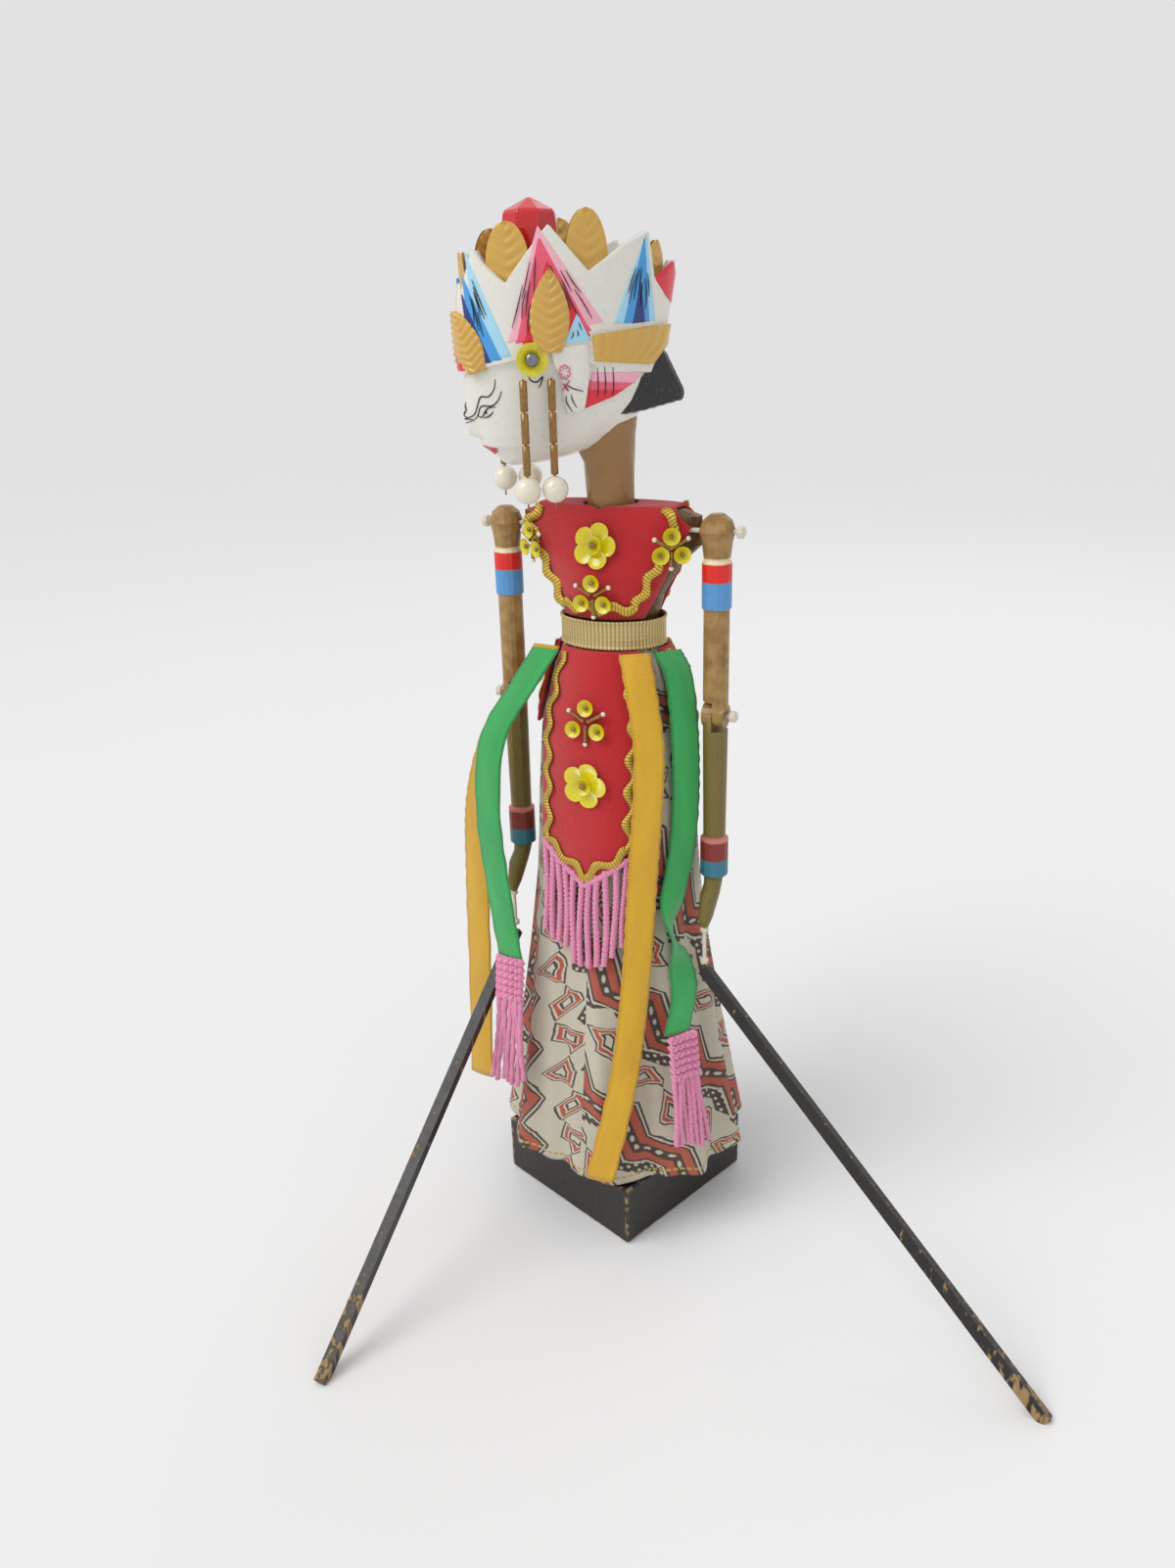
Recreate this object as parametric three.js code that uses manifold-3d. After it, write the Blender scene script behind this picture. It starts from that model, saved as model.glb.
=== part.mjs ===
// A carved and dressed rod puppet on a wooden stand block.
// Millimetres, +Z up. The origin is the centre of the block's underside.
// The puppet's chest faces -Y and its left hand side is +X.
import * as THREE from 'three';
import { mergeVertices } from 'three/addons/utils/BufferGeometryUtils.js';
import Module from 'manifold-3d';

const wasm = await Module();
wasm.setup();

// Clearances
const GAP = 0.3;
const BORE_CLEARANCE = 0.4;

// Stand block
const BLOCK_SIDE = 64;
const BLOCK_HEIGHT = 24;
const BLOCK_CHAMFER = 0.8;
const BLOCK_YAW = -20;
const SOCKET_FLOOR = 6;

// Rod
const ROD_RADIUS = 4;
const ROD_IN_HEAD = 33;

// Torso
const HIP_Z = 209;
const WAIST_Z = 224;
const SHOULDER_Z = 256;
const SHOULDER_TOP_Z = 262;
const WAIST_HALF_WIDTH = 15;
const WAIST_HALF_DEPTH = 11;
const SHOULDER_HALF_WIDTH = 31.6;
const SHOULDER_HALF_DEPTH = 10;
const CHEST_HALF_DEPTH = 12.5;

// Arms
const ARM_RADIUS = 4.2;
const SHOULDER_BALL_RADIUS = 5.8;
const ARM_Y = -3;
const UPPER_ARM_LENGTH = 60;
const FOREARM_LENGTH = 58;
const HAND_LENGTH = 16;
const SLEEVE_START = 35;
const ELBOW_LAP = 5;
const STRING_RADIUS = 0.8;
const KNOT_RADIUS = 2;

// Sticks
const STICK_WIDTH = 4;
const STICK_THICKNESS = 3.5;
const TIE_LENGTH = 14;
const LEFT_STICK_FOOT = [166.5, -57.4];
const RIGHT_STICK_FOOT = [-46.9, -137.7];

// Head, measured from the neck's axis and turned to the puppet's right
const HEAD_YAW = -50;
const NECK_RADIUS = 8;
const NECK_DEPTH = 7;
const CHIN_Z = 277;
const BROW_Z = 303;
const CROWN_FLOOR_Z = 335;
const HEAD_HALF_WIDTH = 17.2;
const CROWN_WALL = 2.6;
const CROWN_LIFT = 1.2;
const KNOB_Y = -23;
const KNOB_RADIUS = 8.7;
const KNOB_HEIGHT = 17;

// Ear ornaments
const EAR_Y = -28;
const EAR_Z = 308;
const SEQUIN_RADIUS = 4.9;
const PEARL_RADIUS = 4;
const STRAND_LENGTH = 36;

// Clothes
const FELT = 1.1;
const CLOTH = 0.8;
const RIBBON_WIDTH = 10.4;
const TASSEL_LEAN = 0.12;
const BRAID_WIDTH = 3;
const BRAID_HEIGHT = 1;
const BELT_HEIGHT = 9.5;
const BELT_THICKNESS = 1.2;
const HEM_Z = BLOCK_HEIGHT + 0.9;
const SKIRT_FOLDS = 9;
const APRON_WIDTH = 32;
const APRON_LENGTH = 79;
const APRON_POINT = 13;
const HIP_PANEL_WIDTH = 26;
const HIP_PANEL_LENGTH = 30;
const FRINGE_LENGTH = 34;
const FRINGE_STRANDS = 12;
const STRAND_THICKNESS = 2.2;
const TASSEL_HEADER = 16;
const TASSEL_STRANDS = 6;

const BELT_TOP = WAIST_Z + 3;
const BELT_BOTTOM = BELT_TOP - BELT_HEIGHT;
const SKIRT_TOP = BELT_BOTTOM + 3;
const SHOULDER_X = SHOULDER_HALF_WIDTH + GAP + SHOULDER_BALL_RADIUS;
const ELBOW_Z = SHOULDER_Z - UPPER_ARM_LENGTH;
const WRIST_Z = ELBOW_Z - FOREARM_LENGTH;
const HAND_TIP_Z = WRIST_Z - HAND_LENGTH;

// Sizes of cutting boxes, larger than anything they cut.
const BROAD = 60;
const TALL = 400;

const rad = THREE.MathUtils.degToRad;

// Makes a closed body from corner positions and triangles, with its faces out.
function body(positions, index) {
  const p = new Float32Array(positions);
  let volume = 0;
  const a = new THREE.Vector3();
  const b = new THREE.Vector3();
  const c = new THREE.Vector3();
  for (let k = 0; k < index.length; k += 3) {
    a.fromArray(p, 3 * index[k]);
    b.fromArray(p, 3 * index[k + 1]);
    c.fromArray(p, 3 * index[k + 2]);
    volume += a.dot(b.cross(c));
  }
  const corners = index.slice();
  if (volume < 0) {
    for (let k = 0; k < corners.length; k += 3) {
      [corners[k + 1], corners[k + 2]] = [corners[k + 2], corners[k + 1]];
    }
  }
  const geometry = new THREE.BufferGeometry();
  geometry.setAttribute('position', new THREE.BufferAttribute(p, 3));
  geometry.setIndex(corners);
  return geometry;
}

function welded(geometry) {
  const bare = geometry.clone();
  bare.deleteAttribute('normal');
  bare.deleteAttribute('uv');
  return mergeVertices(bare, 1e-4);
}

function toSolid(geometry) {
  const bare = welded(geometry);
  return new wasm.Manifold(new wasm.Mesh({
    numProp: 3,
    vertProperties: new Float32Array(bare.attributes.position.array),
    triVerts: new Uint32Array(bare.index.array),
  }));
}

function toGeometry(solid) {
  const mesh = solid.getMesh();
  const geometry = new THREE.BufferGeometry();
  geometry.setAttribute('position', new THREE.BufferAttribute(mesh.vertProperties, 3));
  geometry.setIndex(new THREE.BufferAttribute(mesh.triVerts, 1));
  return geometry;
}

// Rings of points joined into a closed skin: ring(level) gives its points.
function skin(levels, segments, point) {
  const positions = [];
  const index = [];
  for (let level = 0; level < levels; level += 1) {
    for (let k = 0; k < segments; k += 1) {
      positions.push(...point(2 * Math.PI * k / segments, level));
    }
  }
  for (const level of [0, levels - 1]) {
    const middle = [0, 0, 0];
    for (let k = 0; k < segments; k += 1) {
      for (let n = 0; n < 3; n += 1) {
        middle[n] += positions[3 * (level * segments + k) + n] / segments;
      }
    }
    positions.push(...middle);
  }
  const low = levels * segments;
  const top = (levels - 1) * segments;
  for (let k = 0; k < segments; k += 1) {
    const next = (k + 1) % segments;
    for (let level = 0; level < levels - 1; level += 1) {
      const a = level * segments + k;
      const b = level * segments + next;
      index.push(a, b, b + segments, a, b + segments, a + segments);
    }
    index.push(low, next, k, low + 1, top + k, top + next);
  }
  return body(positions, index);
}

// A stack of ellipses: rows of [z, half width, half depth, y of the middle].
function loft(rows, segments = 20, grow = 0) {
  return skin(rows.length, segments, (angle, level) => {
    const [z, halfWidth, halfDepth, y = 0] = rows[level];
    return [(halfWidth + grow) * Math.cos(angle), y + (halfDepth + grow) * Math.sin(angle), z];
  });
}

// A round body from rows of [radius, z].
function turned(rows, segments = 12) {
  return loft(rows.map(([radius, z]) => [z, radius, radius]), segments);
}

function rod(radius, z0, z1, segments = 12) {
  return turned([[radius, z0], [radius, z1]], segments);
}

function box(x0, x1, y0, y1, z0, z1) {
  const geometry = new THREE.BoxGeometry(x1 - x0, y1 - y0, z1 - z0);
  return geometry.translate((x0 + x1) / 2, (y0 + y1) / 2, (z0 + z1) / 2);
}

// A closed sheet: point(u, v, side) with u and v from 0 to 1, side 0 inside and 1 outside.
function sheet(columns, rows, point) {
  const positions = [];
  const index = [];
  const wide = columns + 1;
  const count = wide * (rows + 1);
  for (const side of [0, 1]) {
    for (let j = 0; j <= rows; j += 1) {
      for (let i = 0; i <= columns; i += 1) {
        positions.push(...point(i / columns, j / rows, side));
      }
    }
  }
  const quad = (a, b, c, d) => index.push(a, b, c, a, c, d);
  for (let j = 0; j < rows; j += 1) {
    for (let i = 0; i < columns; i += 1) {
      const a = j * wide + i;
      quad(a, a + 1, a + 1 + wide, a + wide);
      quad(count + a, count + a + wide, count + a + 1 + wide, count + a + 1);
    }
  }
  for (let i = 0; i < columns; i += 1) {
    const last = rows * wide + i;
    quad(i + 1, i, count + i, count + i + 1);
    quad(last, last + 1, count + last + 1, count + last);
  }
  for (let j = 0; j < rows; j += 1) {
    const left = j * wide;
    const right = left + columns;
    quad(left, left + wide, count + left + wide, count + left);
    quad(right + wide, right, count + right, count + right + wide);
  }
  return body(positions, index);
}

const root = new THREE.Group();

function add(name, geometry, finish, parent = root) {
  const [color, roughness, metalness = 0] = finish;
  const material = new THREE.MeshStandardMaterial({ color, roughness, metalness });
  const mesh = new THREE.Mesh(geometry, material);
  mesh.name = name;
  parent.add(mesh);
  return mesh;
}

const FINISH = {
  black: [0x16130f, 0.45],
  wood: [0x9a7444, 0.7],
  bronze: [0x7a4a22, 0.45, 0.2],
  gold: [0xaa8750, 0.45, 0.2],
  face: [0xe1e1dc, 0.25],
  red: [0xe11423, 0.25],
  felt: [0xdc141e, 0.95],
  braid: [0xc8aa3c, 0.45, 0.4],
  belt: [0xc8af6e, 0.4, 0.5],
  batik: [0xc8a58c, 0.85],
  yellow: [0xebb40a, 0.35],
  green: [0x14aa46, 0.35],
  pink: [0xeb82af, 0.8],
  lemon: [0xe6d714, 0.2],
  nail: [0x8c8c90, 0.35, 0.8],
  pearl: [0xeee8da, 0.2],
  cotton: [0xe8e2d2, 0.9],
};

// The stand block has a blind socket for the rod.
function makeBlock() {
  const half = BLOCK_SIDE / 2;
  const cut = BLOCK_CHAMFER;
  const rows = [[0, half - cut], [cut, half], [BLOCK_HEIGHT - cut, half], [BLOCK_HEIGHT, half - cut]];
  const block = skin(rows.length, 4, (angle, level) => {
    const [z, reach] = rows[level];
    const corner = angle + Math.PI / 4;
    return [reach * Math.SQRT2 * Math.cos(corner), reach * Math.SQRT2 * Math.sin(corner), z];
  });
  const socket = rod(ROD_RADIUS + BORE_CLEARANCE, SOCKET_FLOOR, BLOCK_HEIGHT + 1, 16);
  const mesh = add('base_block', toGeometry(toSolid(block).subtract(toSolid(socket))), FINISH.black);
  mesh.rotation.z = rad(BLOCK_YAW);
}

const ROD_TOP = SHOULDER_TOP_Z + ROD_IN_HEAD;

function makeRod() {
  const tip = 2;
  add('central_rod', turned([
    [ROD_RADIUS - 1, SOCKET_FLOOR + GAP],
    [ROD_RADIUS, SOCKET_FLOOR + GAP + tip],
    [ROD_RADIUS, ROD_TOP - tip],
    [ROD_RADIUS - 1, ROD_TOP],
  ], 16), FINISH.wood);
}

const TORSO = [
  [HIP_Z, WAIST_HALF_WIDTH - 1, WAIST_HALF_DEPTH - 1],
  [WAIST_Z, WAIST_HALF_WIDTH, WAIST_HALF_DEPTH],
  [WAIST_Z + 10, WAIST_HALF_WIDTH + 3, CHEST_HALF_DEPTH],
  [WAIST_Z + 20, WAIST_HALF_WIDTH + 9, CHEST_HALF_DEPTH],
  [SHOULDER_Z - 5, SHOULDER_HALF_WIDTH, SHOULDER_HALF_DEPTH],
  [SHOULDER_Z + 4, SHOULDER_HALF_WIDTH, SHOULDER_HALF_DEPTH - 1],
  [SHOULDER_TOP_Z, SHOULDER_HALF_WIDTH - 6, SHOULDER_HALF_DEPTH - 2],
];

// The torso is bored for the rod, with a wider seat for the neck and a string hole in each shoulder.
function makeTorso() {
  let solid = toSolid(loft(TORSO, 28));
  solid = solid.subtract(toSolid(rod(ROD_RADIUS + BORE_CLEARANCE, HIP_Z - 1, SHOULDER_TOP_Z + 1, 16)));
  const seat = rod(NECK_RADIUS + BORE_CLEARANCE, SHOULDER_TOP_Z - NECK_DEPTH, SHOULDER_TOP_Z + 1, 20);
  solid = solid.subtract(toSolid(seat));
  for (const side of [-1, 1]) {
    const hole = rod(STRING_RADIUS + BORE_CLEARANCE, 0, 9, 8).rotateY(side * Math.PI / 2);
    hole.translate(side * (SHOULDER_HALF_WIDTH - 7), ARM_Y, SHOULDER_Z);
    solid = solid.subtract(toSolid(hole));
  }
  add('torso', toGeometry(solid), FINISH.bronze);
}

const headGroup = new THREE.Group();
headGroup.rotation.z = rad(HEAD_YAW);
root.add(headGroup);

// The head's sections, from the chin to the crown's rim: [z, half width, front, back].
const HEAD = [
  [CHIN_Z, 2.4, -33.4, -25],
  [CHIN_Z + 2, 7.6, -35.8, -13],
  [CHIN_Z + 6, 11.8, -40.6, -1],
  [CHIN_Z + 13, 14.8, -42.8, 9],
  [CHIN_Z + 23, 16.5, -45, 14.5],
  [BROW_Z + 3, HEAD_HALF_WIDTH, -45.6, 16],
  [BROW_Z + 13, HEAD_HALF_WIDTH + 0.8, -45.8, 17.6],
  [BROW_Z + 27, HEAD_HALF_WIDTH + 1.4, -45, 20],
  [BROW_Z + 47, HEAD_HALF_WIDTH + 1.8, -43, 23],
];

// The crown's rim: [degrees round the head from the face, z], with a leaf's tip at each high point.
const CROWN_RIM = [
  [0, 316], [10, 322], [25, 338], [50, 328.6], [70, 343.9], [95, 331.3], [110, 338],
  [125, 341.8], [135, 329.4], [145, 329.4], [160, 334.8], [180, 322],
];

// The hair's fan at the nape, seen from the side: [y, z].
const HAIR_OUTLINE = [
  [-12.8, 291], [0.2, 297], [15.6, 310], [17, 309], [23.6, 297.8], [23, 294], [7.5, 291.4], [-5, 289.8],
];
const HAIR_WIDTH = 21;

// Reads one column of a table of rows at a value between them.
function between(rows, value, column) {
  let row = 0;
  while (row < rows.length - 2 && value > rows[row + 1][0]) {
    row += 1;
  }
  const t = (value - rows[row][0]) / (rows[row + 1][0] - rows[row][0]);
  return rows[row][column] + t * (rows[row + 1][column] - rows[row][column]);
}

// A point on the head at an angle from the face, and at a height.
function onHead(angle, z, gap = 0) {
  const halfWidth = between(HEAD, z, 1) + gap;
  const front = between(HEAD, z, 2) - gap;
  const back = between(HEAD, z, 3) + gap;
  return [halfWidth * Math.sin(angle), (front + back) / 2 - (back - front) / 2 * Math.cos(angle), z];
}

// A free-standing gold leaf inside the crown's wall.
function crownLeaf(degrees, width, tipZ) {
  const thickness = 2.4;
  const height = tipZ - CROWN_FLOOR_Z + 15;
  const shape = new THREE.Shape();
  shape.moveTo(-width / 2, 0);
  shape.lineTo(width / 2, 0);
  shape.lineTo(width / 2, height * 0.6);
  shape.quadraticCurveTo(width / 2.2, height, 0, height);
  shape.quadraticCurveTo(-width / 2.2, height, -width / 2, height * 0.6);
  const slab = new THREE.ExtrudeGeometry(shape, { depth: thickness, bevelEnabled: false, curveSegments: 5 });
  slab.translate(0, 0, -thickness / 2).rotateX(Math.PI / 2).rotateZ(rad(degrees));
  return toSolid(slab.translate(...onHead(rad(degrees), tipZ - height, -3)));
}

function crownWall() {
  const segments = 72;
  const shell = (gap, low, over) => skin(4, segments, (angle, level) => {
    const degrees = THREE.MathUtils.radToDeg(Math.min(angle, 2 * Math.PI - angle));
    const rim = between(CROWN_RIM, degrees, 1) + over;
    return onHead(angle, low + (rim - low) * level / 3, gap);
  });
  const outer = toSolid(shell(CROWN_LIFT, BROW_Z + 1, 0));
  const inner = toSolid(shell(CROWN_LIFT - CROWN_WALL, CROWN_FLOOR_Z - 15, 8));
  return outer.subtract(inner);
}

// One carving: neck, face with nose, skull, ears, hair at the nape and the painted crown.
function makeHead() {
  const face = skin(HEAD.length - 2, 28, (angle, level) => onHead(angle, HEAD[level][0]));
  const neck = loft([
    [SHOULDER_TOP_Z - NECK_DEPTH + GAP, NECK_RADIUS, NECK_RADIUS],
    [SHOULDER_TOP_Z + 6, NECK_RADIUS - 0.3, NECK_RADIUS - 0.3],
    [CHIN_Z - 1, NECK_RADIUS, NECK_RADIUS + 0.2],
    [CHIN_Z + 7, NECK_RADIUS + 1, NECK_RADIUS + 2.4, -2.2],
    [CHIN_Z + 14, NECK_RADIUS + 2.8, NECK_RADIUS + 8, -7],
  ], 20);
  const nose = loft([
    [CHIN_Z + 8.5, 0.6, 1, -43.2],
    [CHIN_Z + 9.6, 1.6, 3.4, -41.8],
    [CHIN_Z + 15, 1.6, 3.4, -42.6],
    [BROW_Z - 3, 1, 2.4, -43.2],
  ], 8);
  const dome = loft([
    [CROWN_FLOOR_Z - 18, HEAD_HALF_WIDTH - 1, 30, -13],
    [CROWN_FLOOR_Z - 8, HEAD_HALF_WIDTH - 2.5, 26, -14],
    [CROWN_FLOOR_Z - 2, KNOB_RADIUS + 3, 17, -18],
    [CROWN_FLOOR_Z, KNOB_RADIUS - 1, KNOB_RADIUS - 1, KNOB_Y],
  ], 20);
  const fan = new THREE.Shape(HAIR_OUTLINE.map(([y, z]) => new THREE.Vector2(y, z)));
  const hair = new THREE.ExtrudeGeometry(fan, { depth: HAIR_WIDTH, bevelEnabled: false });
  hair.translate(0, 0, -HAIR_WIDTH / 2).rotateY(Math.PI / 2).rotateX(Math.PI / 2);
  let solid = toSolid(face);
  for (const piece of [toSolid(neck), toSolid(nose), toSolid(dome), toSolid(hair), crownWall()]) {
    solid = solid.add(piece);
  }
  for (const side of [-1, 1]) {
    const ear = box(-1.5, 1.4, -6, 3, -10, 9).translate(side * HEAD_HALF_WIDTH, -14, BROW_Z - 1);
    solid = solid.add(toSolid(ear));
    for (const [degrees, width, tipZ] of [[50, 13, 345.2], [96, 13, 348.2], [150, 10, 340]]) {
      solid = solid.add(crownLeaf(side * degrees, width, tipZ));
    }
  }
  solid = solid.add(crownLeaf(0, 11, 338));
  const knobRoom = rod(KNOB_RADIUS + 1.5, CROWN_FLOOR_Z, CROWN_FLOOR_Z + KNOB_HEIGHT + 2, 12);
  solid = solid.subtract(toSolid(knobRoom.translate(0, KNOB_Y, 0)));
  const bore = rod(ROD_RADIUS + BORE_CLEARANCE, SHOULDER_TOP_Z - NECK_DEPTH - 1, ROD_TOP + GAP, 16);
  solid = solid.subtract(toSolid(bore));
  for (const side of [-1, 1]) {
    const room = rod(SEQUIN_RADIUS + GAP, 0, 8, 16).rotateY(side * Math.PI / 2);
    solid = solid.subtract(toSolid(room.translate(side * HEAD_HALF_WIDTH, EAR_Y, EAR_Z)));
    const hole = rod(1, -4, 6, 8).rotateY(Math.PI / 2).translate(side * HEAD_HALF_WIDTH, EAR_Y, EAR_Z);
    solid = solid.subtract(toSolid(hole));
  }
  add('head', toGeometry(solid), FINISH.face, headGroup);
}

function makeKnob() {
  const z = CROWN_FLOOR_Z + GAP;
  const knob = turned([
    [KNOB_RADIUS - 2.5, z], [KNOB_RADIUS, z + 3.6], [KNOB_RADIUS, z + 12], [KNOB_RADIUS - 1, z + 13.6],
    [1, z + KNOB_HEIGHT],
  ], 8);
  add('crown_knob', knob.translate(0, KNOB_Y, 0), FINISH.red, headGroup);
}

// Sequin cup, nail and two hanging strands on each ear.
function makeEar(side, letter) {
  const x = HEAD_HALF_WIDTH + GAP;
  const place = (geometry) => {
    geometry.rotateY(side * Math.PI / 2);
    return geometry.translate(side * x, EAR_Y, EAR_Z);
  };
  const cup = toSolid(turned([[2, 0], [SEQUIN_RADIUS, 1.6], [SEQUIN_RADIUS - 0.6, 2]], 12));
  const dish = toSolid(turned([[1.6, 0.8], [SEQUIN_RADIUS - 0.6, 2.2]], 12));
  const hole = toSolid(rod(1.1, -1, 3, 8));
  add(`ear_sequin_${letter}`, place(toGeometry(cup.subtract(dish).subtract(hole))), FINISH.lemon, headGroup);
  const nail = turned([[0.7, -3.5], [0.7, 1.1], [2.1, 1.2], [1.6, 2.2], [0.4, 2.6]], 8);
  add(`ear_nail_${letter}`, place(nail), FINISH.nail, headGroup);
  [['front', -3], ['rear', 5.5]].forEach(([name, offset]) => {
    const top = EAR_Z - SEQUIN_RADIUS - GAP;
    const pearl = top - STRAND_LENGTH + PEARL_RADIUS;
    const rows = [[0.6, top - STRAND_LENGTH - 2]];
    rows.push([0.6, pearl - PEARL_RADIUS], [PEARL_RADIUS * 0.75, pearl - PEARL_RADIUS * 0.7]);
    rows.push([PEARL_RADIUS, pearl], [PEARL_RADIUS * 0.75, pearl + PEARL_RADIUS * 0.7]);
    rows.push([0.6, pearl + PEARL_RADIUS]);
    const bead = (top - pearl - PEARL_RADIUS) / 3;
    for (let n = 0; n < 3; n += 1) {
      const z = pearl + PEARL_RADIUS + n * bead;
      rows.push([0.6, z + 0.5], [1.2, z + 0.6], [1.2, z + bead - 0.4], [0.6, z + bead - 0.3]);
    }
    rows.push([0.6, top]);
    const strand = turned(rows, 6).translate(side * (x + 1.4), EAR_Y + offset, 0);
    add(`earring_${letter}_${name}`, strand, FINISH.pearl, headGroup);
  });
}

const SKIRT = [
  [SKIRT_TOP, WAIST_HALF_WIDTH + 1.5, WAIST_HALF_DEPTH + 1.5],
  [BELT_BOTTOM - GAP, WAIST_HALF_WIDTH + 1.8, WAIST_HALF_DEPTH + 1.8],
  [BELT_BOTTOM - 6, WAIST_HALF_WIDTH + 5.5, WAIST_HALF_DEPTH + 5.5],
  [190, 26.6, 21.6],
  [160, 29, 24.5],
  [130, 30.5, 27],
  [100, 34, 30],
  [70, 38.5, 34],
  [45, 42.5, 38],
  [HEM_Z, 46, 41],
];

// The skirt's outer surface at an angle and height, with folds that deepen to the hem.
function onSkirt(angle, z, gap = 0) {
  let row = 0;
  while (row < SKIRT.length - 2 && z < SKIRT[row + 1][0]) {
    row += 1;
  }
  const [z0, width0, depth0] = SKIRT[row];
  const [z1, width1, depth1] = SKIRT[row + 1];
  const t = THREE.MathUtils.clamp((z0 - z) / (z0 - z1), 0, 1);
  const down = THREE.MathUtils.clamp((SKIRT_TOP - z) / (SKIRT_TOP - HEM_Z), 0, 1);
  const fold = 2.6 * down * down * Math.cos(SKIRT_FOLDS * angle + 1.2 * Math.sin(2 * angle));
  const halfWidth = width0 + t * (width1 - width0) + fold + gap;
  const halfDepth = depth0 + t * (depth1 - depth0) + fold + gap;
  return [halfWidth * Math.cos(angle), halfDepth * Math.sin(angle), z];
}

function makeSkirt() {
  const heights = [SKIRT[0][0], SKIRT[1][0]];
  for (let row = 2; row < SKIRT.length; row += 1) {
    heights.push((SKIRT[row - 1][0] + SKIRT[row][0]) / 2, SKIRT[row][0]);
  }
  const levels = heights.length;
  const shell = (gap, over) => skin(levels, 45, (angle, level) => {
    const z = heights[level];
    const beyond = level === 0 ? over : level === levels - 1 ? -over : 0;
    const point = onSkirt(angle, z, gap);
    point[2] += beyond;
    return point;
  });
  const cloth = toSolid(shell(0, 0)).subtract(toSolid(shell(-CLOTH, 1)));
  add('skirt', toGeometry(cloth), FINISH.batik);
}

// A hanging strip on the skirt: path rows of [angle in degrees, z, gap], top first.
function strip(path, width, thickness, rows = 14) {
  const curve = new THREE.CatmullRomCurve3(path.map((row) => new THREE.Vector3(...row)));
  return sheet(2, rows, (u, v, side) => {
    const at = curve.getPoint(v);
    const [x, y] = onSkirt(rad(at.x), at.y);
    const across = (u - 0.5) * width / Math.hypot(x, y);
    return onSkirt(rad(at.x) + across, at.y, at.z + side * thickness);
  });
}

const RIBBON_TOP = BELT_BOTTOM - GAP;
const FIRST_LAYER = 3 * GAP;
const BRAID_LAYER = FIRST_LAYER + FELT + GAP;
const TOP_LAYER = BRAID_LAYER + BRAID_HEIGHT + GAP;

// A felt panel on the skirt: its middle's angle, width, length and how far its point drops.
function panel(degrees, width, length, point, gap, thickness, inset = 0, columns = 8, rows = 12) {
  return sheet(columns, rows, (u, v, side) => {
    const reach = length - point * Math.abs(2 * u - 1) - inset;
    const z = RIBBON_TOP - reach * v + (inset > 0 ? 2 * (1 - v) : 0);
    const middle = rad(degrees);
    const [x, y] = onSkirt(middle, z);
    const half = (width * (0.7 + 0.3 * Math.min(1, 3 * v)) / 2 - inset) / Math.hypot(x, y);
    const angle = middle + (2 * u - 1) * half;
    return onSkirt(angle, z, gap + side * thickness);
  });
}

// The gold braid along a panel's sides and lower edge.
function panelBraid(degrees, width, length, point) {
  const over = BRAID_LAYER;
  const whole = panel(degrees, width, length, point, over, BRAID_HEIGHT);
  const middle = panel(degrees, width, length, point, over - 1, BRAID_HEIGHT + 2, BRAID_WIDTH);
  return toGeometry(toSolid(whole).subtract(toSolid(middle)));
}

const APRON_ANGLE = -90;
const APRON_SHAPE = [APRON_ANGLE, APRON_WIDTH, APRON_LENGTH, APRON_POINT];

function makeApron() {
  add('apron', panel(...APRON_SHAPE, FIRST_LAYER, FELT), FINISH.felt);
  add('apron_braid', panelBraid(...APRON_SHAPE), FINISH.braid);
}

function makeHipPanels() {
  for (const [degrees, letter] of [[15, 'l'], [165, 'r']]) {
    const shape = [degrees, HIP_PANEL_WIDTH, HIP_PANEL_LENGTH, 0];
    add(`hip_panel_${letter}`, panel(...shape, FIRST_LAYER, FELT), FINISH.felt);
    add(`hip_braid_${letter}`, panelBraid(...shape), FINISH.braid);
  }
}

// A row of strands along a line on the skirt, joined by a narrow header.
function strands(count, place, thickness, steps = 4) {
  let solid = null;
  for (let n = 0; n < count; n += 1) {
    const strand = skin(steps + 1, 4, (angle, level) => {
      const [centre, out] = place((n + 0.5) / count, level / steps);
      const across = out.clone().cross(new THREE.Vector3(0, 0, 1)).normalize();
      const point = centre.clone().addScaledVector(across, thickness / 2 * Math.cos(angle));
      return point.addScaledVector(out, thickness / 2 * Math.sin(angle)).toArray();
    });
    solid = solid === null ? toSolid(strand) : solid.add(toSolid(strand));
  }
  return solid;
}

function makeFringe() {
  const middle = rad(APRON_ANGLE);
  const half = APRON_WIDTH / 2 - 0.5;
  const place = (u, v) => {
    const edge = RIBBON_TOP - APRON_LENGTH + APRON_POINT * Math.abs(2 * u - 1) - GAP - 1;
    const z = edge - v * FRINGE_LENGTH;
    const [x, y] = onSkirt(middle, z);
    const angle = middle + (2 * u - 1) * half / Math.hypot(x, y);
    const gap = FIRST_LAYER + STRAND_THICKNESS / 2;
    const centre = new THREE.Vector3(...onSkirt(angle, z, gap));
    return [centre, new THREE.Vector3(Math.cos(angle), Math.sin(angle), 0)];
  };
  const header = sheet(24, 1, (u, v, side) => {
    const [centre, out] = place(u, v * 2 / FRINGE_LENGTH);
    return centre.addScaledVector(out, (side - 0.5) * STRAND_THICKNESS * 0.8).toArray();
  });
  const fringe = strands(FRINGE_STRANDS, place, STRAND_THICKNESS).add(toSolid(header));
  add('apron_fringe', toGeometry(fringe), FINISH.pink);
}

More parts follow.
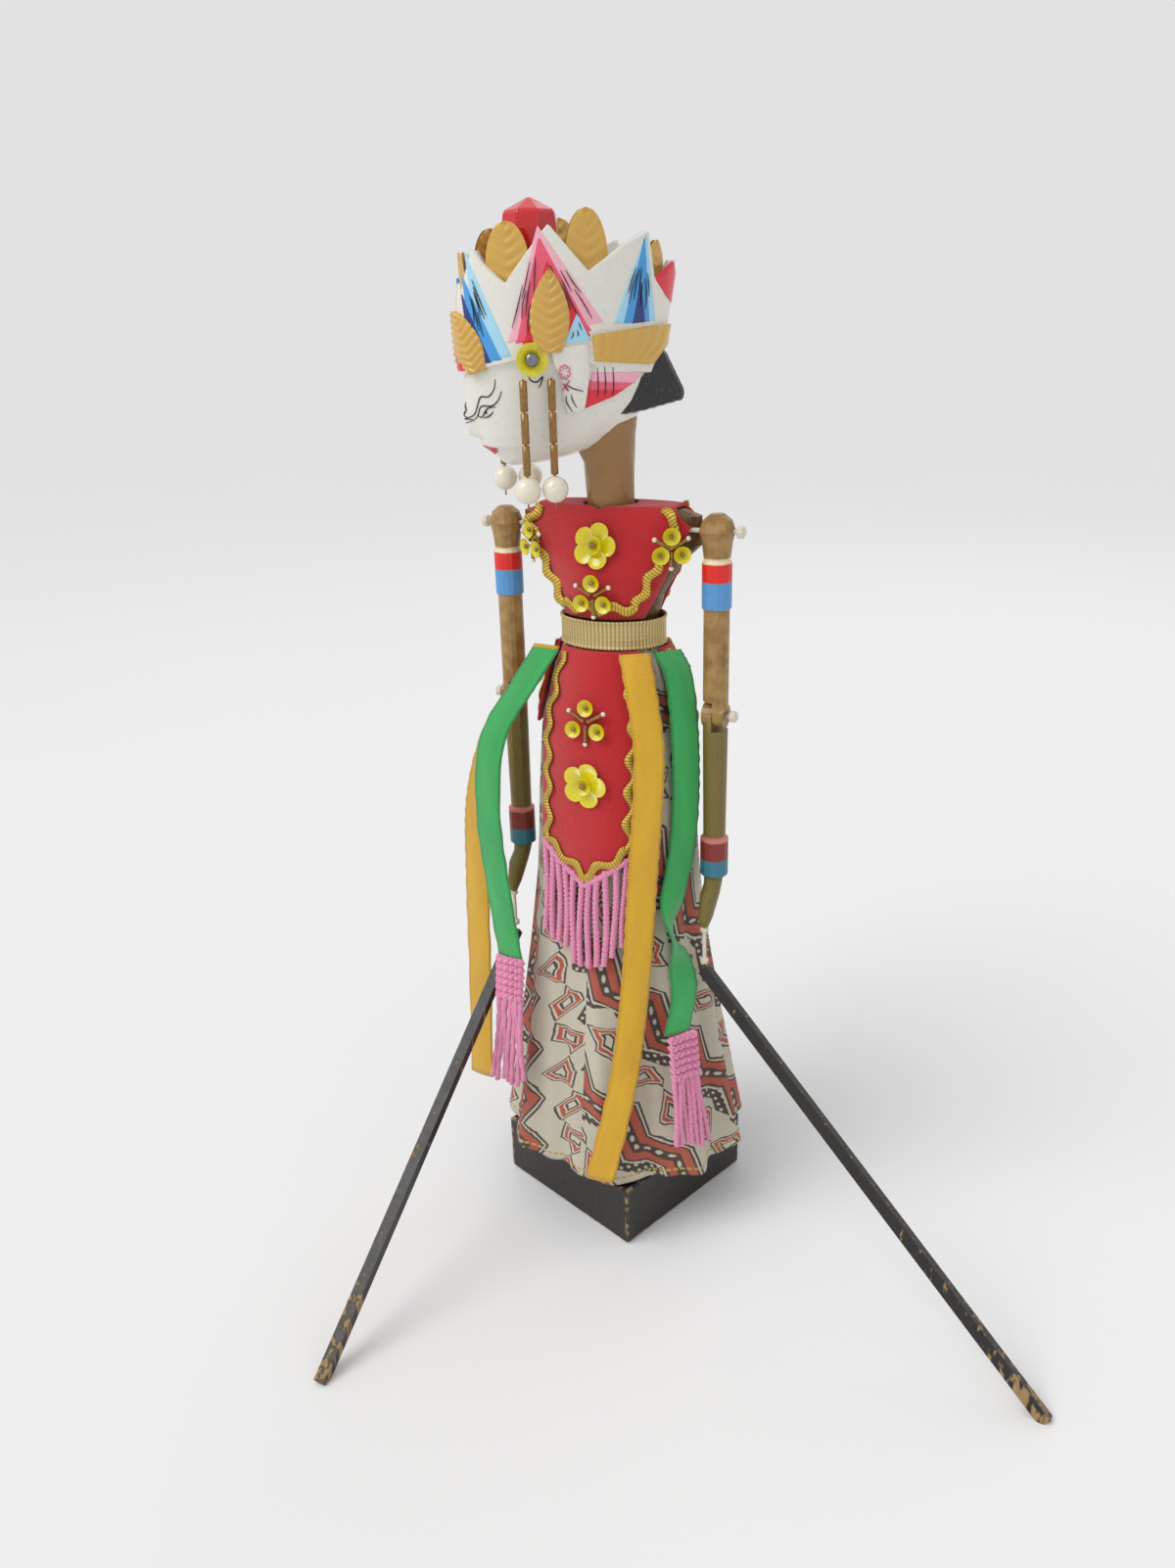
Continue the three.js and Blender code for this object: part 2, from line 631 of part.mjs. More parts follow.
// A tassel at a ribbon's end: a crocheted header with strands under it. The path gives
// the middle and the way out at each distance below the ribbon's end.
function makeTassel(letter, path, length) {
  const place = (u, drop, width) => {
    const [centre, out] = path(drop);
    const across = out.clone().cross(new THREE.Vector3(0, 0, 1)).normalize();
    return [centre.addScaledVector(across, (u - 0.5) * width), out];
  };
  const header = sheet(1, 3, (u, v, side) => {
    const [centre, out] = place(u, GAP + v * TASSEL_HEADER, RIBBON_WIDTH + 1);
    return centre.addScaledVector(out, (side - 0.5) * 3).toArray();
  });
  const hang = (u, v) => place(u, TASSEL_HEADER - 1 + v * length, (RIBBON_WIDTH - 1) * (1 + 0.5 * v));
  const tassel = strands(TASSEL_STRANDS, hang, 1.8).add(toSolid(header));
  add(`tassel_${letter}`, toGeometry(tassel), FINISH.pink);
}

function makeBib() {
  const covering = (grow) => {
    const rows = TORSO.map((row) => row.slice());
    rows[rows.length - 1][0] += grow;
    return toSolid(loft(rows, 28, grow));
  };
  const inside = covering(GAP);
  const outside = covering(GAP + FELT);
  const underBraid = covering(GAP + FELT + GAP);
  const overBraid = covering(GAP + FELT + GAP + BRAID_HEIGHT);
  const bottom = BELT_TOP + GAP;
  const outline = (inset) => {
    const shape = new THREE.Shape();
    const tip = SHOULDER_HALF_WIDTH - 2 - inset * 1.4;
    const hip = WAIST_HALF_WIDTH - 1 - inset;
    shape.moveTo(-hip, bottom + inset);
    shape.lineTo(hip, bottom + inset);
    shape.lineTo(tip, SHOULDER_Z + 1);
    shape.lineTo(tip - 7, SHOULDER_TOP_Z + 3);
    shape.lineTo(-tip + 7, SHOULDER_TOP_Z + 3);
    shape.lineTo(-tip, SHOULDER_Z + 1);
    shape.closePath();
    const prism = new THREE.ExtrudeGeometry(shape, { depth: 80, bevelEnabled: false });
    return toSolid(prism.translate(0, 0, -40).rotateX(Math.PI / 2));
  };
  const neckHole = toSolid(rod(NECK_RADIUS + 1, SHOULDER_TOP_Z - 10, SHOULDER_TOP_Z + 10, 20));
  const bib = outside.subtract(inside).intersect(outline(0)).subtract(neckHole);
  add('bib', toGeometry(bib), FINISH.felt);
  const frame = outline(0).subtract(outline(BRAID_WIDTH));
  const shell = overBraid.subtract(underBraid).intersect(frame);
  const front = shell.intersect(toSolid(box(-BROAD, BROAD, -BROAD, -1, 0, TALL)));
  const back = shell.intersect(toSolid(box(-BROAD, BROAD, 1, BROAD, 0, TALL)));
  add('bib_braid_front', toGeometry(front), FINISH.braid);
  add('bib_braid_back', toGeometry(back), FINISH.braid);
}

function makeBelt() {
  const room = 2.2;
  const ring = (grow, over) => loft([
    [BELT_BOTTOM - over, WAIST_HALF_WIDTH + room + grow, WAIST_HALF_DEPTH + room + grow],
    [BELT_TOP + over, WAIST_HALF_WIDTH + room + grow, WAIST_HALF_DEPTH + room + grow],
  ], 36);
  const belt = toSolid(ring(BELT_THICKNESS, 0)).subtract(toSolid(ring(0, 1)));
  add('belt', toGeometry(belt), FINISH.belt);
}

// A free strip through hand-picked points, with its face towards a direction.
function freeStrip(points, out, rows = 16) {
  const curve = new THREE.CatmullRomCurve3(points.map((point) => new THREE.Vector3(...point)));
  const across = out.clone().cross(new THREE.Vector3(0, 0, 1)).normalize();
  return sheet(1, rows, (u, v, side) => {
    const centre = curve.getPoint(v);
    const tangent = curve.getTangent(v);
    const normal = tangent.clone().cross(across).normalize();
    if (normal.dot(out) < 0) {
      normal.negate();
    }
    centre.addScaledVector(across, (u - 0.5) * RIBBON_WIDTH);
    return centre.addScaledVector(normal, side * CLOTH).toArray();
  });
}

function makeRibbons() {
  const top = RIBBON_TOP;
  const layer = TOP_LAYER;
  add('ribbon_yellow_l', strip([
    [-51.5, top, layer + 1], [-48.5, 185, layer + 0.7], [-53, 150, layer + 0.4],
    [-58, 115, layer + 0.3], [-66, 75, layer], [-78, 30, layer],
  ], RIBBON_WIDTH, CLOTH), FINISH.yellow);
  const faceLeft = new THREE.Vector3(0.77, -0.64, 0).normalize();
  add('ribbon_green_l', freeStrip([
    [20.8, -4, top - 1], [25.6, -5.6, 208], [28.8, -8.6, 190], [29.4, -9.2, 168], [28.7, -11.2, 149],
    [27, -15.4, 133], [27.2, -17.6, 120], [29.8, -15.8, 108], [31.9, -17, 97], [31.6, -23.4, 84],
  ], faceLeft, 26), FINISH.green);
  const leftEnd = [rad(-37), 84];
  makeTassel('l', (drop) => {
    const centre = new THREE.Vector3(...onSkirt(leftEnd[0], leftEnd[1] - drop, 4));
    return [centre, new THREE.Vector3(Math.cos(leftEnd[0]), Math.sin(leftEnd[0]), 0)];
  }, 30);
  const faceRight = new THREE.Vector3(-0.1, -1, 0).normalize();
  add('ribbon_yellow_r', freeStrip([
    [-20.4, -9.4, top - 1], [-26, -14, 205], [-37, -19, 187], [-46, -19, 160], [-50, -17, 125],
    [-51, -18, 85], [-52, -20, 42],
  ], faceRight), FINISH.yellow);
  const rightEnd = [-29, -31.5, 106];
  add('ribbon_green_r', freeStrip([
    [-18.4, -14.2, top - 1], [-24, -21, 205], [-33, -28, 187], [-36, -29, 160], [-33, -30, 130], rightEnd,
  ], faceRight), FINISH.green);
  makeTassel('r', (drop) => {
    const centre = new THREE.Vector3(...rightEnd).addScaledVector(faceRight, CLOTH / 2);
    centre.z -= drop;
    centre.addScaledVector(faceRight, drop * TASSEL_LEAN);
    return [centre, faceRight.clone()];
  }, 36);
}

// A point on the torso's surface, and the way out of it.
function onTorso(angle, z, gap) {
  let row = 0;
  while (row < TORSO.length - 2 && z > TORSO[row + 1][0]) {
    row += 1;
  }
  const [z0, width0, depth0] = TORSO[row];
  const [z1, width1, depth1] = TORSO[row + 1];
  const t = (z - z0) / (z1 - z0);
  const halfWidth = width0 + t * (width1 - width0) + gap;
  const halfDepth = depth0 + t * (depth1 - depth0) + gap;
  return new THREE.Vector3(halfWidth * Math.cos(angle), halfDepth * Math.sin(angle), z);
}

function placed(geometry, at, out) {
  geometry.applyQuaternion(new THREE.Quaternion().setFromUnitVectors(new THREE.Vector3(0, 0, 1), out));
  return geometry.translate(at.x, at.y, at.z);
}

// A five-petalled sequin with a cup and a bead in its middle.
function flower(size) {
  const shape = new THREE.Shape();
  const steps = 20;
  for (let k = 0; k < steps; k += 1) {
    const angle = 2 * Math.PI * k / steps;
    const reach = size / 2 * (0.72 + 0.28 * Math.cos(5 * angle));
    const point = [reach * Math.cos(angle), reach * Math.sin(angle)];
    if (k === 0) {
      shape.moveTo(...point);
    } else {
      shape.lineTo(...point);
    }
  }
  const petals = toSolid(new THREE.ExtrudeGeometry(shape, { depth: 0.8, bevelEnabled: false }));
  const cup = toSolid(turned([[1.5, 0.4], [3.2, 1.8], [1.4, 1.9], [1.4, 3], [0.5, 3.6]], 10));
  return toGeometry(petals.add(cup));
}

// Cup sequins in a ring, with bugle beads between them.
function cluster(count, spread) {
  let solid = toSolid(rod(1.3, 0, 1.6, 8));
  for (let k = 0; k < count; k += 1) {
    const angle = Math.PI / 2 + 2 * Math.PI * k / count;
    const cup = turned([[1.4, 0], [2.9, 1.2], [1, 1.3], [1, 2.2]], 8);
    solid = solid.add(toSolid(cup.translate(spread * Math.cos(angle), spread * Math.sin(angle), 0)));
    const bugle = rod(0.7, 0, spread, 4).rotateY(Math.PI / 2).translate(0, 0, 0.8).rotateZ(angle);
    solid = solid.add(toSolid(bugle));
    const bead = rod(0.7, 0, spread + 2, 4).rotateY(Math.PI / 2).translate(0, 0, 0.8);
    solid = solid.add(toSolid(bead.rotateZ(angle + Math.PI / count)));
  }
  return toGeometry(solid);
}

function makeSequins() {
  const front = -Math.PI / 2;
  const bibTop = 3 * GAP + FELT;
  const lean = (angle, z) => {
    const low = onTorso(angle, z - 5, 0);
    const high = onTorso(angle, z + 5, 0);
    const around = new THREE.Vector3(-Math.sin(angle), Math.cos(angle) * 0.6, 0);
    return around.cross(high.sub(low)).normalize();
  };
  const sew = (name, geometry, angle, z, lift) => {
    const out = lean(angle, z);
    const at = onTorso(angle, z, bibTop).addScaledVector(out, lift);
    add(name, placed(geometry, at, out), FINISH.lemon);
  };
  sew('chest_flower', flower(15), front, 251, 1);
  sew('belly_cluster', cluster(3, 4.5), front, 235.5, 0.3);
  sew('shoulder_cluster_l', cluster(3, 4), front + 0.8, 251, 0.9);
  sew('shoulder_cluster_r', cluster(3, 4), front - 0.8, 251, 0.9);
  const felt = FIRST_LAYER + FELT + GAP + 0.6;
  const tilt = new THREE.Vector3(0, -1, 0.12).normalize();
  const upper = new THREE.Vector3(...onSkirt(front, 192, felt));
  const lower = new THREE.Vector3(...onSkirt(front, 172, felt));
  add('apron_cluster', placed(cluster(3, 5), upper, tilt), FINISH.lemon);
  add('apron_flower', placed(flower(16), lower, new THREE.Vector3(0, -1, 0)), FINISH.lemon);
}

// Limbs: each side's arm hangs from a knotted string through the shoulder.
function makeArm(side, letter, foot) {
  const x = side * SHOULDER_X;
  const axisHole = (radius, z, from, to) => toSolid(rod(radius, from, to, 8)
    .rotateY(side * Math.PI / 2).translate(x, ARM_Y, z));
  const hole = STRING_RADIUS + BORE_CLEARANCE;
  const ball = SHOULDER_BALL_RADIUS;
  const shaft = turned([
    [ARM_RADIUS, ELBOW_Z], [ARM_RADIUS, ELBOW_Z + SLEEVE_START],
    [ARM_RADIUS + 0.6, ELBOW_Z + SLEEVE_START + 1],
    [ARM_RADIUS + 0.6, SHOULDER_Z - ball - 4], [ARM_RADIUS, SHOULDER_Z - ball - 3],
    [ball * 0.85, SHOULDER_Z - ball * 0.5], [ball, SHOULDER_Z], [ball * 0.8, SHOULDER_Z + ball * 0.6],
    [ball * 0.4, SHOULDER_Z + ball * 0.92],
  ], 16).translate(x, ARM_Y, 0);
  const slab = (x0, x1, z0, z1) => {
    const [left, right] = [Math.min(x0, x1), Math.max(x0, x1)];
    return toSolid(box(left, right, ARM_Y - 20, ARM_Y + 20, z0, z1));
  };
  const half = (outer, z0, z1) => {
    const sign = outer ? side : -side;
    const x0 = x + sign * GAP / 2;
    const x1 = x + sign * 20;
    return slab(x0, x1, z0, z1);
  };
  const lobe = (outer) => {
    const sign = outer ? 1 : -1;
    const disc = rod(ARM_RADIUS - 0.2, 0, ARM_RADIUS - 0.6, 16).rotateY(sign * side * Math.PI / 2);
    return toSolid(disc.translate(x + sign * side * GAP / 2, ARM_Y, ELBOW_Z));
  };
  const cutInner = half(false, ELBOW_Z - 20, ELBOW_Z + ELBOW_LAP);
  const keepOut = slab(x - GAP / 2, x + GAP / 2, ELBOW_Z - 20, ELBOW_Z + ELBOW_LAP);
  let upper = toSolid(shaft).subtract(cutInner).subtract(keepOut).add(lobe(true));
  upper = upper.subtract(axisHole(hole, SHOULDER_Z, -20, 20)).subtract(axisHole(hole, ELBOW_Z, -20, 20));
  add(`upper_arm_${letter}`, toGeometry(upper), FINISH.gold);

  const fore = loft([
    [HAND_TIP_Z, 1.4, 1.4, -9], [HAND_TIP_Z + 3, 2.4, 3.4, -8], [HAND_TIP_Z + 10, 3.2, 5, -4],
    [WRIST_Z - 3, 3, 4, -1], [WRIST_Z, 3.4, 3.4], [WRIST_Z + 0.6, 4.8, 4.8], [WRIST_Z + 14, 4.8, 4.8],
    [WRIST_Z + 14.6, ARM_RADIUS - 0.4, ARM_RADIUS - 0.4], [ELBOW_Z, ARM_RADIUS, ARM_RADIUS],
  ], 16).translate(x, ARM_Y, 0);
  const cutOuter = half(true, ELBOW_Z - ELBOW_LAP, ELBOW_Z + 20);
  const keepOutLow = slab(x - GAP / 2, x + GAP / 2, ELBOW_Z - ELBOW_LAP, ELBOW_Z + 20);
  let lower = toSolid(fore).subtract(cutOuter).subtract(keepOutLow).add(lobe(false));
  lower = lower.subtract(axisHole(hole, ELBOW_Z, -20, 20));
  add(`forearm_${letter}`, toGeometry(lower), FINISH.gold);

  const string = (from, to, z) => turned([
    [STRING_RADIUS, from], [STRING_RADIUS, to], [KNOT_RADIUS, to + 0.8], [KNOT_RADIUS, to + 2.4],
    [0.8, to + 3.2],
  ], 8).rotateY(side * Math.PI / 2).translate(x, ARM_Y, z);
  add(`shoulder_string_${letter}`, string(-SHOULDER_BALL_RADIUS - 6, ball + GAP, SHOULDER_Z), FINISH.cotton);
  add(`elbow_string_${letter}`, string(-ARM_RADIUS + 0.6, ARM_RADIUS + GAP, ELBOW_Z), FINISH.cotton);

  const tieX = x;
  const tieY = ARM_Y - 9;
  const tieTop = HAND_TIP_Z - GAP;
  const tieLow = tieTop - TIE_LENGTH;
  add(`hand_tie_${letter}`, turned([
    [1.4, tieLow], [1.6, tieLow + 1.2], [0.7, tieLow + 2], [0.7, tieTop - 2], [1.6, tieTop - 1.2],
    [1.2, tieTop],
  ], 8).translate(tieX, tieY, 0), FINISH.cotton);

  // The control stick leans from the tie down to the surface that the block stands on.
  const head = new THREE.Vector3(tieX, tieY, tieLow - 2.6);
  const end = new THREE.Vector3(foot[0], foot[1], 0);
  const along = end.clone().sub(head);
  const length = along.length();
  const direction = along.normalize();
  const stick = new THREE.BoxGeometry(STICK_WIDTH, STICK_THICKNESS, length);
  stick.applyQuaternion(new THREE.Quaternion().setFromUnitVectors(new THREE.Vector3(0, 0, -1), direction));
  stick.translate(...head.clone().addScaledVector(direction, length / 2).toArray());
  const floor = toSolid(box(-TALL, TALL, -TALL, TALL, -BROAD, 0));
  add(`stick_${letter}`, toGeometry(toSolid(stick).subtract(floor)), FINISH.black);
}

makeBlock();
makeRod();
makeTorso();
makeHead();
makeKnob();
makeEar(1, 'l');
makeEar(-1, 'r');
makeSkirt();
makeApron();
makeHipPanels();
makeFringe();
makeBib();
makeBelt();
makeRibbons();
makeSequins();
makeArm(1, 'l', LEFT_STICK_FOOT);
makeArm(-1, 'r', RIGHT_STICK_FOOT);

export default root;
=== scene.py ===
"""A dressed rod puppet on a stand block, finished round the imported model.

Shapes are worked out in millimetres and scaled to metres when a mesh is made. The
origin is the centre of the block's underside, +Z is up, and the chest faces -Y.
"""

import math

import bpy
import numpy as np
from mathutils import Matrix, Vector


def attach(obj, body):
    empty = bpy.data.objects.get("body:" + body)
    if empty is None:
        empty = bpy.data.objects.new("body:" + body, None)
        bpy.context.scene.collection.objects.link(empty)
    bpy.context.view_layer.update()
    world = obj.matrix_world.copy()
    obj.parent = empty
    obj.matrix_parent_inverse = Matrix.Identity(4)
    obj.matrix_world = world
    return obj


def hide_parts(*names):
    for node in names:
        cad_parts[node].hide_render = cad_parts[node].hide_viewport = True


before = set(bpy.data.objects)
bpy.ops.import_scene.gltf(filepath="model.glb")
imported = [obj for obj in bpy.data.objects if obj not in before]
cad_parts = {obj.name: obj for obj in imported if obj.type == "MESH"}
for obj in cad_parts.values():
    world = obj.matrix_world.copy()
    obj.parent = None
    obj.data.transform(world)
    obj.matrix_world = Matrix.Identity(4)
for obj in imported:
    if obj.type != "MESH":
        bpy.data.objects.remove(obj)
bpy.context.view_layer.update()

MM = 0.001
RNG = np.random.default_rng(7)

# Camera
LENS_MM = 27.05
SENSOR_MM = 36
CAMERA_PLACE = (0.1632, -0.3539, 0.3165)
CAMERA_PITCH = 68.8
CAMERA_YAW = 26.3
CAMERA_ROLL = -1.8

scene = bpy.context.scene


def make_camera():
    data = bpy.data.cameras.new("photo_camera")
    data.lens = LENS_MM
    data.sensor_width = SENSOR_MM
    camera = bpy.data.objects.new("photo_camera", data)
    scene.collection.objects.link(camera)
    camera.location = CAMERA_PLACE
    camera.rotation_mode = "XYZ"
    turn = Matrix.Rotation(math.radians(CAMERA_YAW), 4, "Z")
    turn = turn @ Matrix.Rotation(math.radians(CAMERA_PITCH), 4, "X")
    turn = turn @ Matrix.Rotation(math.radians(CAMERA_ROLL), 4, "Z")
    camera.rotation_euler = turn.to_euler()
    scene.camera = camera


make_camera()


# Materials


def tint(red, green, blue):
    """A colour given in the usual 0 to 255 as linear RGBA."""
    channels = []
    for value in (red, green, blue):
        c = value / 255
        channels.append(c / 12.92 if c <= 0.04045 else ((c + 0.055) / 1.055) ** 2.4)
    return (*channels, 1.0)


class Value:
    """A socket that can be added, multiplied and compared like a number."""

    def __init__(self, paint, socket):
        self.paint = paint
        self.socket = socket

    def __add__(self, other):
        return self.paint.math("ADD", self, other)

    def __sub__(self, other):
        return self.paint.math("SUBTRACT", self, other)

    def __rsub__(self, other):
        return self.paint.math("SUBTRACT", other, self)

    def __mul__(self, other):
        return self.paint.math("MULTIPLY", self, other)

    def __abs__(self):
        return self.paint.math("ABSOLUTE", self)

    def fract(self):
        return self.paint.math("FRACT", self)

    def sin(self):
        return self.paint.math("SINE", self)

    def below(self, limit, soft):
        """1 where the value is under the limit and 0 above it, with a soft step."""
        made = self.paint.node("Math", {0: self, 1: -1 / soft, 2: limit / soft + 0.5})
        made.operation = "MULTIPLY_ADD"
        made.use_clamp = True
        return Value(self.paint, made.outputs[0])

    def above(self, limit, soft):
        return 1 - self.below(limit, soft)


class Paint:
    """One node material round a Principled shader."""

    def __init__(self, name, sockets):
        self.material = bpy.data.materials.new(name)
        self.material.use_nodes = True
        self.tree = self.material.node_tree
        self.shader = self.tree.nodes["Principled BSDF"]
        for socket, value in sockets.items():
            self.put(self.shader.inputs[socket], value)

    def put(self, socket, value):
        if isinstance(value, Value):
            self.tree.links.new(value.socket, socket)
        else:
            socket.default_value = value

    def node(self, kind, inputs=None):
        made = self.tree.nodes.new("ShaderNode" + kind)
        for key, value in (inputs or {}).items():
            self.put(made.inputs[key], value)
        return made

    def math(self, operation, *values):
        made = self.node("Math", dict(enumerate(values)))
        made.operation = operation
        return Value(self, made.outputs[0])

    def place(self, kind="Object", scale=(1, 1, 1)):
        """The Object or UV coordinates, scaled, as one vector."""
        source = self.node("TexCoord")
        made = self.node("Mapping", {"Scale": scale})
        self.tree.links.new(source.outputs[kind], made.inputs["Vector"])
        return Value(self, made.outputs[0])

    def split(self, vector):
        made = self.node("SeparateXYZ", {0: vector})
        return [Value(self, output) for output in made.outputs]

    def noise(self, vector, scale, detail=3.0, distortion=0.0):
        made = self.node(
            "TexNoise",
            {"Vector": vector, "Scale": scale, "Detail": detail, "Distortion": distortion},
        )
        return Value(self, made.outputs[0])

    def mix(self, factor, first, second):
        made = self.node("Mix")
        made.data_type = "RGBA"
        self.put(made.inputs[0], factor)
        self.put(made.inputs[6], first)
        self.put(made.inputs[7], second)
        return Value(self, made.outputs[2])

    def attribute(self, name):
        made = self.node("Attribute")
        made.attribute_name = name
        return Value(self, made.outputs["Color"])

    def colour(self, value):
        self.put(self.shader.inputs["Base Color"], value)

    def roughness(self, value):
        self.put(self.shader.inputs["Roughness"], value)

    def bump(self, height, distance, strength=1.0):
        made = self.node("Bump", {"Height": height, "Distance": distance, "Strength": strength})
        self.tree.links.new(made.outputs[0], self.shader.inputs["Normal"])


BLACK = tint(22, 19, 16)
WORN = tint(178, 148, 100)


def black_paint(name, wear_near_edges):
    """Satin black paint, brushed on, rubbed back to the wood along the edges."""
    paint = Paint(name, {"Specular IOR Level": 0.5})
    at = paint.place("Object", (1 / MM, 1 / MM, 1 / MM))
    patches = paint.noise(at, 0.35, 5)
    grain = paint.noise(paint.place("Object", (900, 900, 60)), 1.0, 4)
    rubbed = wear_near_edges(paint, at, patches)
    dusty = paint.mix(patches * 0.35, BLACK, tint(48, 42, 36))
    paint.colour(paint.mix(rubbed, dusty, paint.mix(grain, tint(120, 92, 58), WORN)))
    paint.roughness(patches * 0.25 + 0.28 + rubbed * 0.3)
    paint.bump(grain * 0.6 + patches - rubbed * 0.8, 0.00025, 0.6)
    return paint.material


BLOCK_YAW = math.radians(-20)
BLOCK_HALF = 32.0
BLOCK_HEIGHT = 24.0


def block_wear(paint, at, patches):
    """Rubbing where two faces of the block meet."""
    x, y, z = paint.split(at)
    cos, sin = math.cos(BLOCK_YAW), math.sin(BLOCK_YAW)
    across = abs(x * cos + y * sin)
    along = abs(y * cos - x * sin)
    near_x = across.above(BLOCK_HALF - 0.9, 1.0)
    near_y = along.above(BLOCK_HALF - 0.9, 1.0)
    near_z = abs(z - BLOCK_HEIGHT / 2).above(BLOCK_HEIGHT / 2 - 0.9, 1.0)
    edge = near_x * near_y + near_y * near_z + near_z * near_x
    return edge * patches.above(0.52, 0.08)


def stick_wear(paint, at, patches):
    """Rubbing in long streaks, and bare bamboo at the foot."""
    z = paint.split(at)[2]
    streaks = paint.noise(paint.place("Object", (500, 500, 25)), 1.0, 5)
    foot = z.below(14.0, 16.0) * 0.16
    return (streaks + foot + (patches - 0.5) * 0.2).above(0.66, 0.06)


def bare_wood(name):
    paint = Paint(name, {"Specular IOR Level": 0.3})
    rings = paint.noise(paint.place("Object", (700, 700, 25)), 1.0, 6, 0.4)
    paint.colour(paint.mix(rings, tint(118, 84, 48), tint(186, 148, 98)))
    paint.roughness(rings * 0.2 + 0.6)
    paint.bump(rings, 0.0003)
    return paint.material


def carved_paint(name, base, dark, light, roughness=0.4, metallic=0.15):
    """Hand-brushed paint on carved wood, with darker patches at random and dull patches."""
    paint = Paint(name, {"Metallic": metallic, "Specular IOR Level": 0.45})
    at = paint.place("Object", (1 / MM, 1 / MM, 1 / MM))
    blotches = paint.noise(at, 0.22, 4)
    strokes = paint.noise(paint.place("Object", (1600, 1600, 260)), 1.0, 4)
    tone = paint.mix(blotches.above(0.5, 0.35), base, dark)
    paint.colour(paint.mix(strokes.above(0.6, 0.2) * 0.45, tone, light))
    paint.roughness(blotches * 0.25 + (roughness - 0.1))
    paint.bump(strokes * 0.5 + blotches, 0.0003, 0.6)
    return paint.material


ARM_GOLD = tint(170, 135, 80)
BANDS = [
    (231.8, 240.2, tint(84, 150, 208)),
    (240.4, 246.2, tint(222, 34, 26)),
    (246.2, 247.8, tint(232, 214, 178)),
    (151.2, 153.0, tint(206, 120, 112)),
    (144.4, 151.2, tint(132, 40, 32)),
    (138.0, 144.4, tint(48, 118, 138)),
]


def arm_paint(name):
    """Gold-brown arms with painted bands at fixed heights."""
    paint = Paint(name, {"Specular IOR Level": 0.5})
    at = paint.place("Object", (1 / MM, 1 / MM, 1 / MM))
    blotches = paint.noise(at, 0.25, 4)
    strokes = paint.noise(paint.place("Object", (1500, 1500, 300)), 1.0, 4)
    z = paint.split(at)[2] + (blotches - 0.5) * 0.8
    colour = paint.mix(blotches.above(0.5, 0.3), ARM_GOLD, tint(140, 104, 52))
    olive = paint.mix(strokes, tint(96, 92, 34), tint(132, 110, 52))
    colour = paint.mix(z.below(194.0, 8.0), colour, olive)
    for low, high, band in BANDS:
        inside = z.above(low, 0.5) * z.below(high, 0.5)
        colour = paint.mix(inside, colour, band)
    chips = strokes.above(0.7, 0.06) * 0.6
    paint.colour(paint.mix(chips, colour, tint(92, 66, 34)))
    paint.roughness(blotches * 0.2 + 0.3)
    paint.bump(strokes + blotches, 0.0003, 0.5)
    return paint.material


def felt(name):
    paint = Paint(name, {"Roughness": 0.95, "Sheen Weight": 0.35, "Sheen Roughness": 0.5})
    at = paint.place("Object", (1 / MM, 1 / MM, 1 / MM))
    fibres = paint.noise(at, 2.6, 6, 1.5)
    clouds = paint.noise(at, 0.12, 3)
    tone = paint.mix(fibres, tint(176, 8, 20), tint(226, 26, 36))
    paint.colour(paint.mix(clouds.above(0.55, 0.3) * 0.35, tone, tint(190, 14, 26)))
    paint.bump(fibres, 0.0006, 0.8)
    return paint.material


def metallic_thread(name, light, dark, ribs_per_mm, metallic=0.55):
    """Thread or lame with fine ribs across the UV map's length, painted darker between the ribs as
    shade.
    """
    paint = Paint(name, {"Metallic": metallic, "Specular IOR Level": 0.6})
    u, v, _ = paint.split(paint.place("UV"))
    ribs = (v * (2 * math.pi * ribs_per_mm)).sin() * 0.5 + 0.5
    across = (u * (2 * math.pi * ribs_per_mm * 0.8)).sin() * 0.5 + 0.5
    speckle = paint.noise(paint.place("Object", (1 / MM, 1 / MM, 1 / MM)), 3.0, 3)
    # Painted shade: the colour goes dark in the grooves between the ribs and light on them, with random
    # speckle over it.
    paint.colour(paint.mix(ribs * 0.6 + speckle * 0.4, dark, light))
    paint.roughness(speckle * 0.3 + 0.28)
    paint.bump(ribs * 0.7 + across * 0.3 + speckle * 0.3, 0.0003, 0.8)
    return paint.material


def satin(name, light, dark, weave=3.2):
    """Woven satin ribbon with picot edges; UV is millimetres across and along."""
    paint = Paint(name, {"Sheen Weight": 0.25, "Specular IOR Level": 0.55})
    u, v, _ = paint.split(paint.place("UV"))
    threads = (u * (2 * math.pi * weave)).sin()
    picks = (v * (2 * math.pi * 1.6)).sin()
    cloud = paint.noise(paint.place("UV", (0.12, 0.03, 1)), 1.0, 3)
    edge = abs(u).above(0.41 * 10.4, 0.5)
    loops = (v * (2 * math.pi * 0.7)).sin().above(0.0, 0.6) * edge
    tone = paint.mix(cloud, dark, light)
    paint.colour(paint.mix(edge * 0.5 + loops * 0.2, tone, dark))
    paint.roughness(threads * 0.04 + 0.34 + edge * 0.25)
    paint.bump(threads * 0.3 + picks * 0.25 + loops * 1.2, 0.0002, 0.7)
    return paint.material


def yarn(name, light, dark):
    paint = Paint(name, {"Roughness": 0.85, "Sheen Weight": 0.4})
    u, v, _ = paint.split(paint.place("UV"))
    ply = ((v * 1.1 + u) * (2 * math.pi)).sin() * 0.5 + 0.5
    fluff = paint.noise(paint.place("Object", (1 / MM, 1 / MM, 1 / MM)), 2.5, 5)
    # Painted shade: the colour goes dark in the grooves between the plies and light on them, with random
    # fluff over it.
    paint.colour(paint.mix(ply * 0.5 + fluff * 0.5, dark, light))
    paint.bump(ply + fluff * 0.6, 0.0004, 0.8)
    return paint.material


